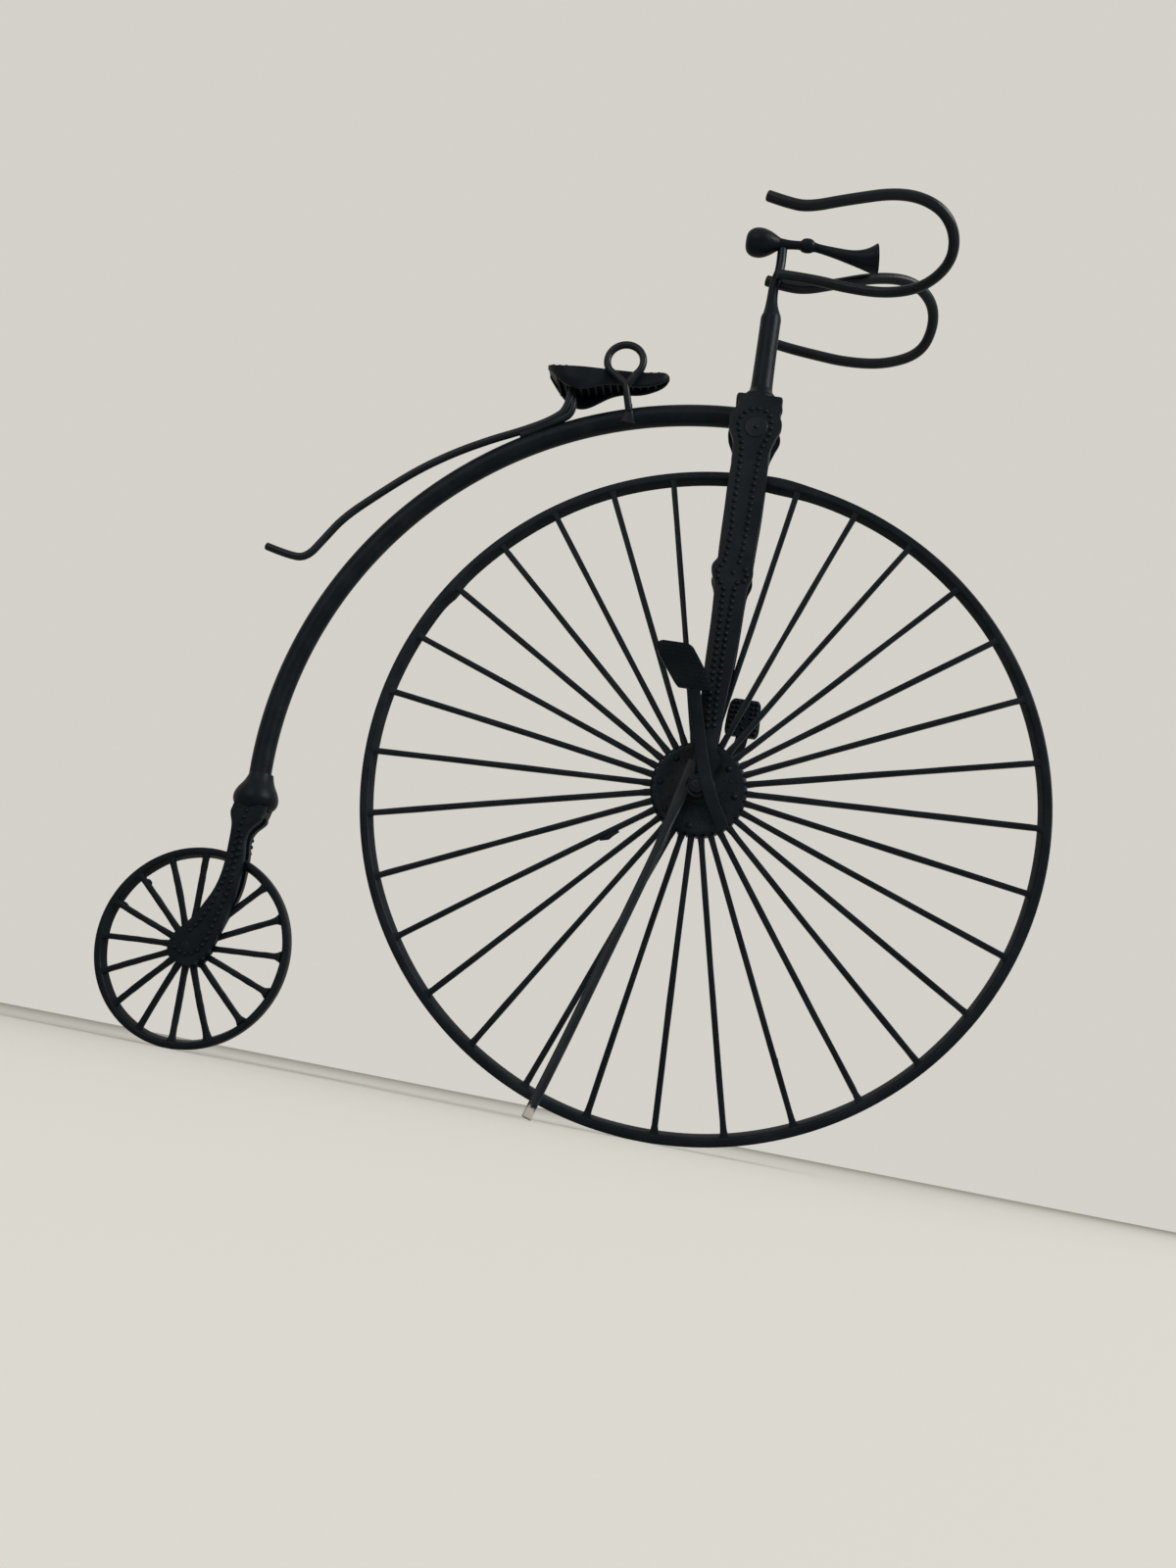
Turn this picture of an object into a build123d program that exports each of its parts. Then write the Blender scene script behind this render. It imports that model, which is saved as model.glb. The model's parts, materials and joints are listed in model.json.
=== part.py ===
from build123d import *
import math
import os

# A cast-metal and wire penny farthing ornament, in millimetres.
# It is drawn upright first: X forward, Z up from the ground, Y away from the near side.
# The origin of the drawing is on the ground below the front axle, in the wheels' middle plane.
# At the end the whole machine leans on its prop leg and moves to the middle of its own outline.

# Wheels
FRONT_RADIUS = 75.0
REAR_RADIUS = 22.2
WHEELBASE = 103.8
RIM_WIDTH = 2.5
RIM_EDGE = 0.4
FRONT_RING = 1.6
FRONT_DRAFT = 0.9
REAR_RING = 1.3
REAR_DRAFT = 0.7
FRONT_SPOKES = 32
REAR_SPOKES = 16
FRONT_SPOKE_PHASE = -2.4
REAR_SPOKE_PHASE = -3.3
SPOKE_WIDTH = 1.25
SPOKE_DEPTH = 1.0
SPOKE_RECESS = 0.15
SPOKE_BITE = 0.5
SPOKE_FOOT_WIDTH = 2.4
SPOKE_FOOT_LENGTH = 1.0
FRONT_HUB_RADIUS = 10.6
FRONT_HUB_HALF = 1.7
FRONT_BOSS_RADIUS = 3.4
REAR_HUB_RADIUS = 4.6
REAR_HUB_HALF = 1.0
REAR_BOSS_RADIUS = 2.4
HUB_EDGE = 0.6
HUB_STUDS = 8
HUB_STUD_RADIUS = 0.75

# Axles and their fits
FRONT_AXLE = 3.0
REAR_AXLE = 2.0
RUNNING_FIT = 0.05
SIDE_GAP = 0.3
RIVET_HEAD = 0.8

# Front fork: two cast blades, their inner faces this far each side of the middle plane
FORK_HALF_GAP = 2.9
FORK_THICK = 1.9
FORK_EYE_RADIUS = 2.6

# Cast beading: studs stand singly, and a beaded row is one strip with a wavy crest
STUD_RADIUS = 0.6
STUD_HEIGHT = 0.4
BEAD_PITCH = 1.6
BEAD_WIDTH = 1.0
BEAD_HEIGHT = 0.45
BEAD_ROOT = 0.1

# Head: crown block and cap, stem, and the riser that carries the horn
CROWN_CLEARANCE = 2.2
CROWN_HEIGHT = 14.3
CROWN_HALF_LENGTH = 4.3
CAP_HEIGHT = 1.8
CAP_OVERHANG = 0.4
CAP_EARS = 1.1
CROWN_RIVET = 2.4
CROWN_RIVET_RISE = 7.2
CROWN_BOSS_RADIUS = 2.9
CROWN_BOSS_HEIGHT = 0.6
STUD_RING_RADIUS = 3.9
STUD_RING_COUNT = 13
STEM_X = -0.6
STEM_LEAN = 0.9
STEM_BELL = 9.0
STEM_DIA = 4.2
STEM_TAPER = 0.4
STEM_HEIGHT = 23.0
NECK_DIA = 2.0
NECK_CONE = 4.5
NECK_LENGTH = 6.9
RISER_DIA = 1.7
RISER_HEIGHT = 6.8

# Backbone: one round tube on a circular arc, its centre placed from the front hub
BACKBONE_DIA = 4.3
BACKBONE_CLEARANCE = 16.6
BACKBONE_CENTRE_X = -4.4
BACKBONE_DROP = 4.8
TUBE_SIDES = 20

# Rear fork: two cast plates hung from a collar
REAR_HALF_GAP = 1.9
REAR_THICK = 1.8
REAR_EYE_RADIUS = 4.3
COLLAR_CLEARANCE = 8.6
COLLAR_HEIGHT = 9.5
COLLAR_DIA = 8.6
TONGUE_HEIGHT = 4.0

# Wires
WIRE_SIDES = 12
BAR_DIA = 2.3
GRIP_LENGTH = 4.5
SOLDER = 0.02
SPRING_DIA = 1.85
SPRING_Y = -2.2
EYE_WIRE = 1.4
EYE_RADIUS = 4.1
LEG_WIRE = 1.9

# Horn
HORN_Y = -0.9
BULB_RADIUS = 3.2
BULB_BACK = 5.55
BULB_STEPS = 8
BELL_REACH = 21.95
BELL_RADIUS = 3.9
HORN_WALL = 0.5
HORN_TUBE = 1.8

# Cranks and pedals
STRIP_WIDTH = 3.0
STRIP_THICK = 1.0
CRANK_EYE_RADIUS = 2.4
CRANK_RISE = 19.7
FAR_CRANK_RISE = 16.0
CRANK_BOW = 2.6
PEDAL_LENGTH = 9.5
PEDAL_WIDTH = 7.6
PEDAL_OUT = 4.5
PEDAL_CORNER = 0.8
PEDAL_THICK = 1.2

# Prop leg and parked lean
LEG_ANGLE = 15.6
LEG_SPLAY = 25.0
LEG_TAPER_LENGTH = 14.0
LEG_STRIP_WIDTH = 2.8
LEG_STRIP_RISE = 5.0
LEG_SET_BACK = 1.3
LEG_BOW = 2.2
LAYER_GAP = 0.2
LEAN = 3.3

# Saddle: a hollow casting, its places measured from the tube below its rear post
SADDLE_ANGLE = 22.85
SADDLE_WALL = 0.9
SADDLE_CEILING = 1.9
SADDLE_TUCK = 0.86
SADDLE_RIBS = 13
RIB_THICK = 0.6
RIB_DEPTH = 0.9

# Places that follow from the sizes above
CROWN_BOTTOM = 2 * FRONT_RADIUS + CROWN_CLEARANCE
CROWN_TOP = CROWN_BOTTOM + CROWN_HEIGHT
CAP_TOP = CROWN_TOP + CAP_HEIGHT
CROWN_RIVET_Z = CROWN_BOTTOM + CROWN_RIVET_RISE
STEM_TOP = CAP_TOP + STEM_HEIGHT
NECK_TOP = STEM_TOP + NECK_CONE + NECK_LENGTH
HORN_Z = NECK_TOP + RISER_HEIGHT
BACKBONE_ARC = FRONT_RADIUS + BACKBONE_CLEARANCE + BACKBONE_DIA / 2
BACKBONE_CENTRE_Z = FRONT_RADIUS - BACKBONE_DROP
COLLAR_BOTTOM = 2 * REAR_RADIUS + COLLAR_CLEARANCE
BACKBONE_END_Z = COLLAR_BOTTOM + TONGUE_HEIGHT + 3.0

# Layers outwards from the wheel, on each side
FORK_OUTER = FORK_HALF_GAP + FORK_THICK
LEG_INNER = FORK_OUTER + LAYER_GAP
LEG_OUTER = LEG_INNER + STRIP_THICK
CRANK_INNER = LEG_OUTER + LAYER_GAP
CRANK_OUTER = CRANK_INNER + STRIP_THICK
REAR_OUTER = REAR_HALF_GAP + REAR_THICK

NEAR = -1
FAR = 1


def cylinder_y(x, z, radius, y_a, y_b):
    """A cylinder along Y between two depths."""
    return Pos(x, (y_a + y_b) / 2, z) * Rot(90, 0, 0) * Cylinder(radius, abs(y_b - y_a))


def slab(outline, y_a, y_b):
    """A flat plate: a closed side outline of (x, z) points, thick from y_a to y_b."""
    low, high = min(y_a, y_b), max(y_a, y_b)
    face = make_face(Polyline([(x, low, z) for x, z in outline], close=True))
    return extrude(face, amount=high - low, dir=(0, 1, 0))


def curved_slab(rows, y_a, y_b):
    """A flat plate from (x, z, bulge) rows, listed with the metal on the left as the outline is walked.
    Each row's bulge says how far the edge that arrives there swells outwards as an arc."""
    low, high = min(y_a, y_b), max(y_a, y_b)
    edges = []
    for (x0, z0, _), (x1, z1, bulge) in zip([rows[-1], *rows], rows):
        start, end = Vector(x0, low, z0), Vector(x1, low, z1)
        if bulge:
            outwards = Vector(z1 - z0, 0, x0 - x1).normalized()
            edges.append(ThreePointArc(start, (start + end) / 2 + outwards * bulge, end))
        else:
            edges.append(Line(start, end))
    return extrude(make_face(edges), amount=high - low, dir=(0, 1, 0))


def turned(profile):
    """A solid turned about the Y axis from (radius, y) points."""
    face = make_face(Polyline([(r, y, 0) for r, y in profile], close=True))
    return revolve(face, axis=Axis.Y)


def turned_up(rows):
    """A solid turned about the Z axis from (height, diameter) rows."""
    outline = [(0, rows[0][0])] + [(d / 2, z) for z, d in rows] + [(0, rows[-1][0])]
    face = make_face(Polyline([(r, 0, z) for r, z in outline], close=True))
    return revolve(face, axis=Axis.Z)


def turned_along(outline):
    """A solid turned about the X axis from (x, radius) points."""
    face = make_face(Polyline([(x, r, 0) for x, r in outline], close=True))
    return revolve(face, axis=Axis.X)


def many_sided(diameter, sides):
    """A regular section with the same area as a round one, which keeps a bent wire's mesh light."""
    step = 2 * math.pi / sides
    return RegularPolygon(diameter / 2 * math.sqrt(step / math.sin(step)), sides)


def bend_radii(points):
    """The largest even bend at each corner of a wire: 0.45 of the shorter run over tan(turn / 2)."""
    vectors = [Vector(*p) for p in points]
    radii = []
    for before, here, after in zip(vectors, vectors[1:], vectors[2:]):
        run_in, run_out = here - before, after - here
        half_turn = math.radians(run_in.get_angle(run_out)) / 2
        radii.append(0.45 * min(run_in.length, run_out.length) / math.tan(half_turn))
    return radii


def wire(points, diameter):
    """Wire along a bent path, with an arc at each bend and plain cut ends."""
    path = FilletPolyline(*points, radius=bend_radii(points)) if len(points) > 2 else Line(*points)
    section = Plane(origin=path @ 0, z_dir=path % 0) * many_sided(diameter, WIRE_SIDES)
    return sweep(section, path=path)


def rod(start, end, diameter):
    """A round rod between two points."""
    run = Vector(*end) - Vector(*start)
    return extrude(Plane(origin=start, z_dir=run) * Circle(diameter / 2), amount=run.length)


def strip(stations):
    """A bent flat strip from level sections: rows of (x, y, z, width, thickness)."""
    sections = [Pos(x, y, z) * Rectangle(width, thick) for x, y, z, width, thick in stations]
    return loft(sections, ruled=True)


def stud(x, y, z, side, radius=STUD_RADIUS):
    """One cast stud on a face that looks along Y, its root sunk a little into the face."""
    base = Plane(origin=(x, y - side * BEAD_ROOT, z), z_dir=(0, side, 0))
    return extrude(base * RegularPolygon(radius, 6), amount=STUD_HEIGHT + BEAD_ROOT, taper=25)


def stud_ring(x, y, z, side, ring_radius, count, radius=STUD_RADIUS):
    """Studs spaced evenly round a circle."""
    turns = [2 * math.pi * i / count for i in range(count)]
    return [stud(x + ring_radius * math.sin(a), y, z + ring_radius * math.cos(a), side, radius) for a in turns]


def beaded_row(start, end, y, side):
    """A row of touching beads between two (x, z) points, as one strip whose crest rises at each bead."""
    first, last = Vector(start[0], y, start[1]), Vector(end[0], y, end[1])
    run = last - first
    outwards = Vector(0, side, 0)
    across = run.normalized().cross(outwards)
    count = round(run.length / BEAD_PITCH)
    pitch = run.length / count
    crest = [(0, BEAD_ROOT / 2)]
    for i in range(count):
        crest += [((i + 0.3) * pitch, BEAD_HEIGHT), ((i + 0.7) * pitch, BEAD_HEIGHT), ((i + 1) * pitch, BEAD_ROOT / 2)]
    profile = [(0, -BEAD_ROOT)] + crest + [(run.length, -BEAD_ROOT)]
    plane = Plane(origin=first - across * BEAD_WIDTH / 2, x_dir=run, z_dir=across)
    return plane * extrude(make_face(Polyline([(u, v, 0) for u, v in profile], close=True)), amount=BEAD_WIDTH)


def cast_wheel(radius, ring, draft, spokes, phase, hub_radius, hub_half, boss_radius, boss_half, axle):
    """One moulded wheel: drafted rim, flat spokes footed into it near one face, hub disc and boss."""
    half = RIM_WIDTH / 2
    rim = turned([
        (radius - ring, -half),
        (radius - RIM_EDGE, -half),
        (radius, -half + RIM_EDGE),
        (radius, half - RIM_EDGE),
        (radius - RIM_EDGE, half),
        (radius - ring - draft, half),
    ])
    hub = turned([
        (0, -boss_half),
        (boss_radius, -boss_half),
        (boss_radius + HUB_EDGE, -hub_half),
        (hub_radius - HUB_EDGE, -hub_half),
        (hub_radius, -hub_half + HUB_EDGE),
        (hub_radius, hub_half - HUB_EDGE),
        (hub_radius - HUB_EDGE, hub_half),
        (boss_radius + HUB_EDGE, hub_half),
        (boss_radius, boss_half),
        (0, boss_half),
    ])
    inner, outer = hub_radius - SPOKE_BITE, radius - ring + SPOKE_BITE
    foot_top = radius - ring - draft / 2
    near_y = -half + SPOKE_RECESS
    bar = slab([
        (-SPOKE_WIDTH / 2, inner), (SPOKE_WIDTH / 2, inner),
        (SPOKE_WIDTH / 2, foot_top - SPOKE_FOOT_LENGTH), (SPOKE_FOOT_WIDTH / 2, foot_top),
        (SPOKE_FOOT_WIDTH / 2, outer), (-SPOKE_FOOT_WIDTH / 2, outer),
        (-SPOKE_FOOT_WIDTH / 2, foot_top), (-SPOKE_WIDTH / 2, foot_top - SPOKE_FOOT_LENGTH),
    ], near_y, near_y + SPOKE_DEPTH)
    wheel = rim + hub
    wheel += [Rot(0, phase + 360 / spokes * i, 0) * bar for i in range(spokes)]
    return wheel - cylinder_y(0, 0, axle / 2 + RUNNING_FIT, -boss_half - 1, boss_half + 1)


def front_wheel():
    """The big wheel, with a ring of studs on each hub face."""
    shape = cast_wheel(FRONT_RADIUS, FRONT_RING, FRONT_DRAFT, FRONT_SPOKES, FRONT_SPOKE_PHASE,
                       FRONT_HUB_RADIUS, FRONT_HUB_HALF, FRONT_BOSS_RADIUS,
                       FORK_HALF_GAP - SIDE_GAP, FRONT_AXLE)
    ring = FRONT_HUB_RADIUS - HUB_EDGE - HUB_STUD_RADIUS * 2.4
    for side in (NEAR, FAR):
        shape += stud_ring(0, side * FRONT_HUB_HALF, 0, side, ring, HUB_STUDS, HUB_STUD_RADIUS)
    return Pos(0, 0, FRONT_RADIUS) * shape


def rear_wheel():
    shape = cast_wheel(REAR_RADIUS, REAR_RING, REAR_DRAFT, REAR_SPOKES, REAR_SPOKE_PHASE,
                       REAR_HUB_RADIUS, REAR_HUB_HALF, REAR_BOSS_RADIUS,
                       REAR_HALF_GAP - SIDE_GAP, REAR_AXLE)
    return Pos(-WHEELBASE, 0, REAR_RADIUS) * shape


# Front blade outline, rows of (x, from the axle 0 or the crown's top 1, height from there, bulge),
# up the fore edge with its medallion lobe and two scallops, over the top and down the rear edge
BLADE_ROWS = [
    (-1.7, 0, 0.0, 0), (1.7, 0, 0.0, 0), (3.4, 0, 4.6, 0), (3.3, 0, 8.0, 0.8), (3.2, 0, 20.0, 0),
    (3.8, 0, 45.1, 0), (3.8, 0, 50.1, 0.9), (4.1, 1, -22.5, 0), (3.9, 1, -14.9, 0),
    (4.9, 1, -6.6, 0.9), (4.6, 1, -2.4, 0.5), (4.4, 1, 0.0, 0.2),
    (-5.4, 1, 0.0, 0), (-5.3, 1, -2.2, 0.1), (-5.7, 1, -7.6, 1.0), (-4.8, 1, -12.4, 0.6), (-4.6, 1, -22.5, 0),
    (-3.9, 0, 50.1, 0), (-3.8, 0, 45.1, 0.9), (-2.9, 0, 28.4, 0), (-1.8, 0, 10.0, 0),
]
MEDALLION_RISE = 47.6
MEDALLION_RING = 3.4
MEDALLION_STUDS = 11

# Beaded rows of the front blade, (x, from 0 or 1, height) at the upper end and at the lower end
BLADE_BEADS = [
    ((-2.9, 1, -13.4), (-1.8, 0, 52.4)),
    ((1.6, 1, -13.4), (1.1, 0, 52.4)),
    ((-1.9, 0, 42.4), (0.2, 0, 13.6)),
    ((1.2, 0, 42.4), (2.0, 0, 13.6)),
]


def blade_height(anchor, rise):
    """A height on the fork blade, counted from the axle (0) or from the crown's top (1)."""
    return (CROWN_TOP if anchor else FRONT_RADIUS) + rise


def fork_blade(side):
    """One cast blade of the front fork: scalloped head, medallion, beaded rows and the eye round the axle."""
    y_in, y_out = side * FORK_HALF_GAP, side * FORK_OUTER
    blade = curved_slab([(x, blade_height(a, dz), bulge) for x, a, dz, bulge in BLADE_ROWS], y_in, y_out)
    blade += cylinder_y(0, FRONT_RADIUS, FORK_EYE_RADIUS, y_in, y_out)
    for (x0, a0, dz0), (x1, a1, dz1) in BLADE_BEADS:
        blade += beaded_row((x0, blade_height(a0, dz0)), (x1, blade_height(a1, dz1)), y_out, side)
    medallion_z = FRONT_RADIUS + MEDALLION_RISE
    blade += stud_ring(0, y_out, medallion_z, side, MEDALLION_RING, MEDALLION_STUDS)
    blade += stud(0, y_out, medallion_z, side)
    blade += stud_ring(STEM_X, y_out, CROWN_RIVET_Z, side, STUD_RING_RADIUS, STUD_RING_COUNT)
    blade -= cylinder_y(0, FRONT_RADIUS, FRONT_AXLE / 2, y_in, y_out)
    return blade - cylinder_y(STEM_X, CROWN_RIVET_Z, CROWN_RIVET / 2, y_in, y_out)


def backbone_point(z):
    """The x of the backbone's centre line at a height on its rear quarter."""
    return BACKBONE_CENTRE_X - math.sqrt(BACKBONE_ARC ** 2 - (z - BACKBONE_CENTRE_Z) ** 2)


def arc_spot(angle, out):
    """The (x, z) of a spot so many degrees behind the backbone's crest and so far outside its centre line."""
    turn, reach = math.radians(angle), BACKBONE_ARC + out
    return BACKBONE_CENTRE_X - reach * math.sin(turn), BACKBONE_CENTRE_Z + reach * math.cos(turn)


def backbone_tube():
    """The tube, from the crown's rear face back and down to the collar."""
    front_x = STEM_X - CROWN_HALF_LENGTH
    front_z = BACKBONE_CENTRE_Z + math.sqrt(BACKBONE_ARC ** 2 - (front_x - BACKBONE_CENTRE_X) ** 2)
    middle_x, middle_z = arc_spot(45, 0)
    end = (backbone_point(BACKBONE_END_Z), 0, BACKBONE_END_Z)
    path = ThreePointArc((front_x, 0, front_z), (middle_x, 0, middle_z), end)
    section = Plane(origin=path @ 0, z_dir=path % 0) * many_sided(BACKBONE_DIA, TUBE_SIDES)
    return sweep(section, path=path)


def crown_block():
    """The block between the blades that holds the backbone's end, and the cap over the blades' tops."""
    block = Pos(STEM_X, 0, (CROWN_BOTTOM + CROWN_TOP) / 2) * Box(
        2 * CROWN_HALF_LENGTH, 2 * FORK_HALF_GAP, CROWN_HEIGHT)
    half = CROWN_HALF_LENGTH + CAP_EARS
    reach = FORK_OUTER + CAP_OVERHANG
    block += curved_slab([
        (STEM_X - half, CROWN_TOP, 0.4), (STEM_X + half, CROWN_TOP, 0),
        (STEM_X + half, CAP_TOP, 0.4), (STEM_X - half, CAP_TOP, 0),
    ], -reach, reach)
    return block - cylinder_y(STEM_X, CROWN_RIVET_Z, CROWN_RIVET / 2, -FORK_HALF_GAP, FORK_HALF_GAP)


def crown_rivet():
    """The pin through blades and block, with a round boss and a centre stud on each side."""
    pin = cylinder_y(STEM_X, CROWN_RIVET_Z, CROWN_RIVET / 2, -FORK_OUTER, FORK_OUTER)
    for side in (NEAR, FAR):
        face = side * (FORK_OUTER + CROWN_BOSS_HEIGHT)
        pin += cylinder_y(STEM_X, CROWN_RIVET_Z, CROWN_BOSS_RADIUS, side * FORK_OUTER, face)
        pin += stud(STEM_X, face, CROWN_RIVET_Z, side)
    return pin


def stem_point(z):
    """The stem leans slightly rearwards above the cap."""
    return STEM_X - math.tan(math.radians(STEM_LEAN)) * (z - CAP_TOP)


# The stem's bell foot, rows of (height above the cap, how far the diameter has come in to the stem's)
BELL_ROWS = [(-0.3, 0.0), (1.6, 0.04), (2.6, 0.2), (3.6, 0.5), (4.4, 0.8), (5.4, 1.0)]


def stem():
    """Bell foot, round stem, upper cone and neck, turned as one and leaning with the head."""
    rows = [(z, STEM_BELL + (STEM_DIA - STEM_BELL) * share) for z, share in BELL_ROWS]
    neck = STEM_HEIGHT + NECK_CONE
    rows += [(STEM_HEIGHT, STEM_DIA - STEM_TAPER), (neck, NECK_DIA), (neck + NECK_LENGTH, NECK_DIA)]
    return Pos(STEM_X, 0, CAP_TOP) * Rot(0, -STEM_LEAN, 0) * turned_up(rows) - crown_block()


def horn_riser():
    """The post above the neck, its top notched to the horn's tube."""
    x = stem_point(NECK_TOP)
    post = Pos(x, 0, NECK_TOP + RISER_HEIGHT / 2) * Cylinder(RISER_DIA / 2, RISER_HEIGHT)
    tube = Pos(x, HORN_Y, HORN_Z) * Rot(0, 90, 0) * Cylinder(HORN_TUBE / 2, 8)
    return post - tube - stem()


# The bars are soldered beside the neck
BAR_SEAT = (NECK_DIA + BAR_DIA) / 2 + SOLDER

# Handlebar wire, rows of (x, distance from the middle plane, height from the neck's top), neck to grip's end
BAR_NEAR = [(-1.1, BAR_SEAT, -1.2), (7.1, BAR_SEAT, -1.4), (14.7, 2.5, -2.8), (24.0, 4.2, -4.2),
            (31.5, 8.5, -5.0), (36.0, 15.5, -3.5), (36.0, 21.5, -1.1), (31.5, 25.8, 2.2), (23.2, 27.0, 3.6),
            (11.6, 27.2, 0.8), (4.0, 27.1, -1.3), (-4.3, 27.0, 0.2)]
BAR_FAR = [(-1.1, BAR_SEAT, -2.1), (5.5, BAR_SEAT, -2.2), (11.0, 2.6, 0.2), (21.4, 4.8, 4.4),
           (30.0, 8.5, 6.8), (36.0, 14.0, 6.5), (37.6, 20.5, 4.1), (35.2, 26.0, 0.0), (28.0, 27.1, -3.6),
           (18.0, 27.2, -4.3), (9.0, 27.1, -3.1), (0.6, 27.0, -1.5)]


def bar_points(side):
    """The wire's points, ending where the round grip begins, and the grip's own end."""
    rows = BAR_NEAR if side == NEAR else BAR_FAR
    points = [(x, side * y, NECK_TOP + z) for x, y, z in rows]
    last, end = Vector(*points[-2]), Vector(*points[-1])
    grip_start = end - (end - last).normalized() * GRIP_LENGTH
    return points[:-1] + [tuple(grip_start)], tuple(end)


def handlebar(side):
    """One bent wire, its last straight run truly round so that a sleeve pushes on."""
    points, end = bar_points(side)
    return wire(points, BAR_DIA) + rod(points[-1], end, BAR_DIA)


def horn_place():
    return Pos(stem_point(NECK_TOP), HORN_Y, HORN_Z)


def horn_bulb():
    """The rubber bulb's form, a ball turned from flats."""
    turns = [math.pi * i / BULB_STEPS for i in range(BULB_STEPS + 1)]
    outline = [(-BULB_BACK - BULB_RADIUS * math.cos(a), BULB_RADIUS * abs(math.sin(a))) for a in turns]
    return horn_place() * turned_along([(outline[0][0], 0)] + outline[1:-1] + [(outline[-1][0], 0)])


# Horn outline ahead of its post, rows of (x, outer radius): tube, knob and flare
HORN_ROWS = [(2.6 - BULB_BACK, 1.6), (-1.0, HORN_TUBE / 2), (4.2, HORN_TUBE / 2), (4.7, 1.35), (6.4, 1.35),
             (6.9, HORN_TUBE / 2), (12.2, 1.3), (16.2, 1.8), (19.5, 2.7), (BELL_REACH, BELL_RADIUS)]
FLARE_ROWS = 4


def horn_trumpet():
    """Tube, knob and flared bell, hollow from the bell's mouth."""
    bore = [(x, r - HORN_WALL) for x, r in HORN_ROWS[-FLARE_ROWS:]]
    outline = [(HORN_ROWS[0][0], 0)] + HORN_ROWS + list(reversed(bore)) + [(bore[0][0] - 1, 0)]
    return horn_place() * turned_along(outline) - horn_bulb()


# Saddle, nose to tail, from the tube below its post:
# rows of (x, half width, height of the top edge, height of the flank's lower edge)
SADDLE_ROWS = [
    (18.3, 0.7, 15.4, 14.8), (17.3, 1.7, 15.8, 14.2), (15.5, 2.2, 15.4, 13.4), (12.7, 2.6, 14.8, 12.4),
    (7.7, 3.3, 14.4, 11.7), (4.7, 4.2, 13.9, 10.8), (2.2, 5.2, 13.4, 9.5), (-0.3, 5.9, 13.0, 7.9),
    (-2.8, 6.3, 12.7, 7.4), (-5.3, 6.2, 12.5, 7.7), (-7.6, 5.4, 12.5, 9.2), (-9.7, 3.8, 13.0, 11.4),
]


def saddle_plan(rows, low, high):
    """A block with the saddle's plan outline, tucked in towards its lower end."""
    sections = []
    for z, tuck in ((low, SADDLE_TUCK), (high, 1.0)):
        side = [(x, -w * tuck) for x, w in rows]
        other = [(x, w * tuck) for x, w in reversed(rows)]
        sections.append(Pos(0, 0, z) * make_face(Polyline([(x, y, 0) for x, y in side + other], close=True)))
    return loft(sections, ruled=True)


def saddle():
    """A cast saddle: side outline met with plan outline, hollow below, with ribs across the hollow."""
    x0, z0 = arc_spot(SADDLE_ANGLE, 0)
    rows = [(x0 + x, w, z0 + top, z0 + low) for x, w, top, low in SADDLE_ROWS]
    width = 2 * max(w for _, w, _, _ in rows)
    floor, crest = min(low for *_, low in rows) - 1, max(top for _, _, top, _ in rows) + 1
    body = slab([(x, top) for x, _, top, _ in rows] + [(x, low) for x, _, _, low in reversed(rows)], -width, width)
    body &= saddle_plan([(x, w) for x, w, _, _ in rows], floor, crest)
    inner = [(x, w - SADDLE_WALL, top - SADDLE_CEILING) for x, w, top, _ in rows if w > 2 * SADDLE_WALL]
    cavity = saddle_plan([(x, w) for x, w, _ in inner], floor - 1, crest)
    hollow = slab([(x, z) for x, _, z in inner] + [(inner[-1][0], floor - 1), (inner[0][0], floor - 1)], -width, width)
    rib_band = slab([(x, z) for x, _, z in inner] + [(x, z - RIB_DEPTH) for x, _, z in reversed(inner)], -width, width)
    body -= cavity & hollow
    fore, aft = inner[0][0] - 2 * RIB_THICK, inner[-1][0] + 2 * RIB_THICK
    for i in range(SADDLE_RIBS):
        x = fore + (aft - fore) * i / (SADDLE_RIBS - 1)
        body += Pos(x, 0, (floor + crest) / 2) * Box(RIB_THICK, 2 * width, crest - floor) & rib_band & cavity
    return body


# Saddle spring, rows of (degrees behind the crest, distance outside the backbone's centre line):
# down from inside the saddle, back beside the tube and out to the step
SPRING_ROWS = [(22.7, 12.0), (24.4, 4.8), (27.2, 3.1), (30.9, 2.9), (35.7, 4.1), (40.9, 5.5), (46.4, 6.9),
               (52.3, 8.1), (57.5, 9.8), (61.2, 9.8), (64.7, 10.2), (65.7, 14.4), (66.2, 20.2)]


def saddle_spring():
    points = [(x, SPRING_Y, z) for x, z in (arc_spot(a, out) for a, out in SPRING_ROWS)]
    return wire(points, SPRING_DIA) - saddle() - backbone_tube()


# Hanging eye, from the tube under its foot: it is soldered to the saddle's near flank
EYE_ANGLE = 15.9
EYE_RISE = 12.3
EYE_BACK = 2.8
EYE_FORK_RISE = 5.6
EYE_FOOT_WIDTH = 3.8
EYE_Y = -4.35
EYE_FOOT_Y = -(BACKBONE_DIA / 2 + 0.55)
EYE_FOOT_X, EYE_FOOT_Z = arc_spot(EYE_ANGLE, 0)
EYE_X = EYE_FOOT_X - EYE_BACK
EYE_Z = EYE_FOOT_Z + EYE_RISE


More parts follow.
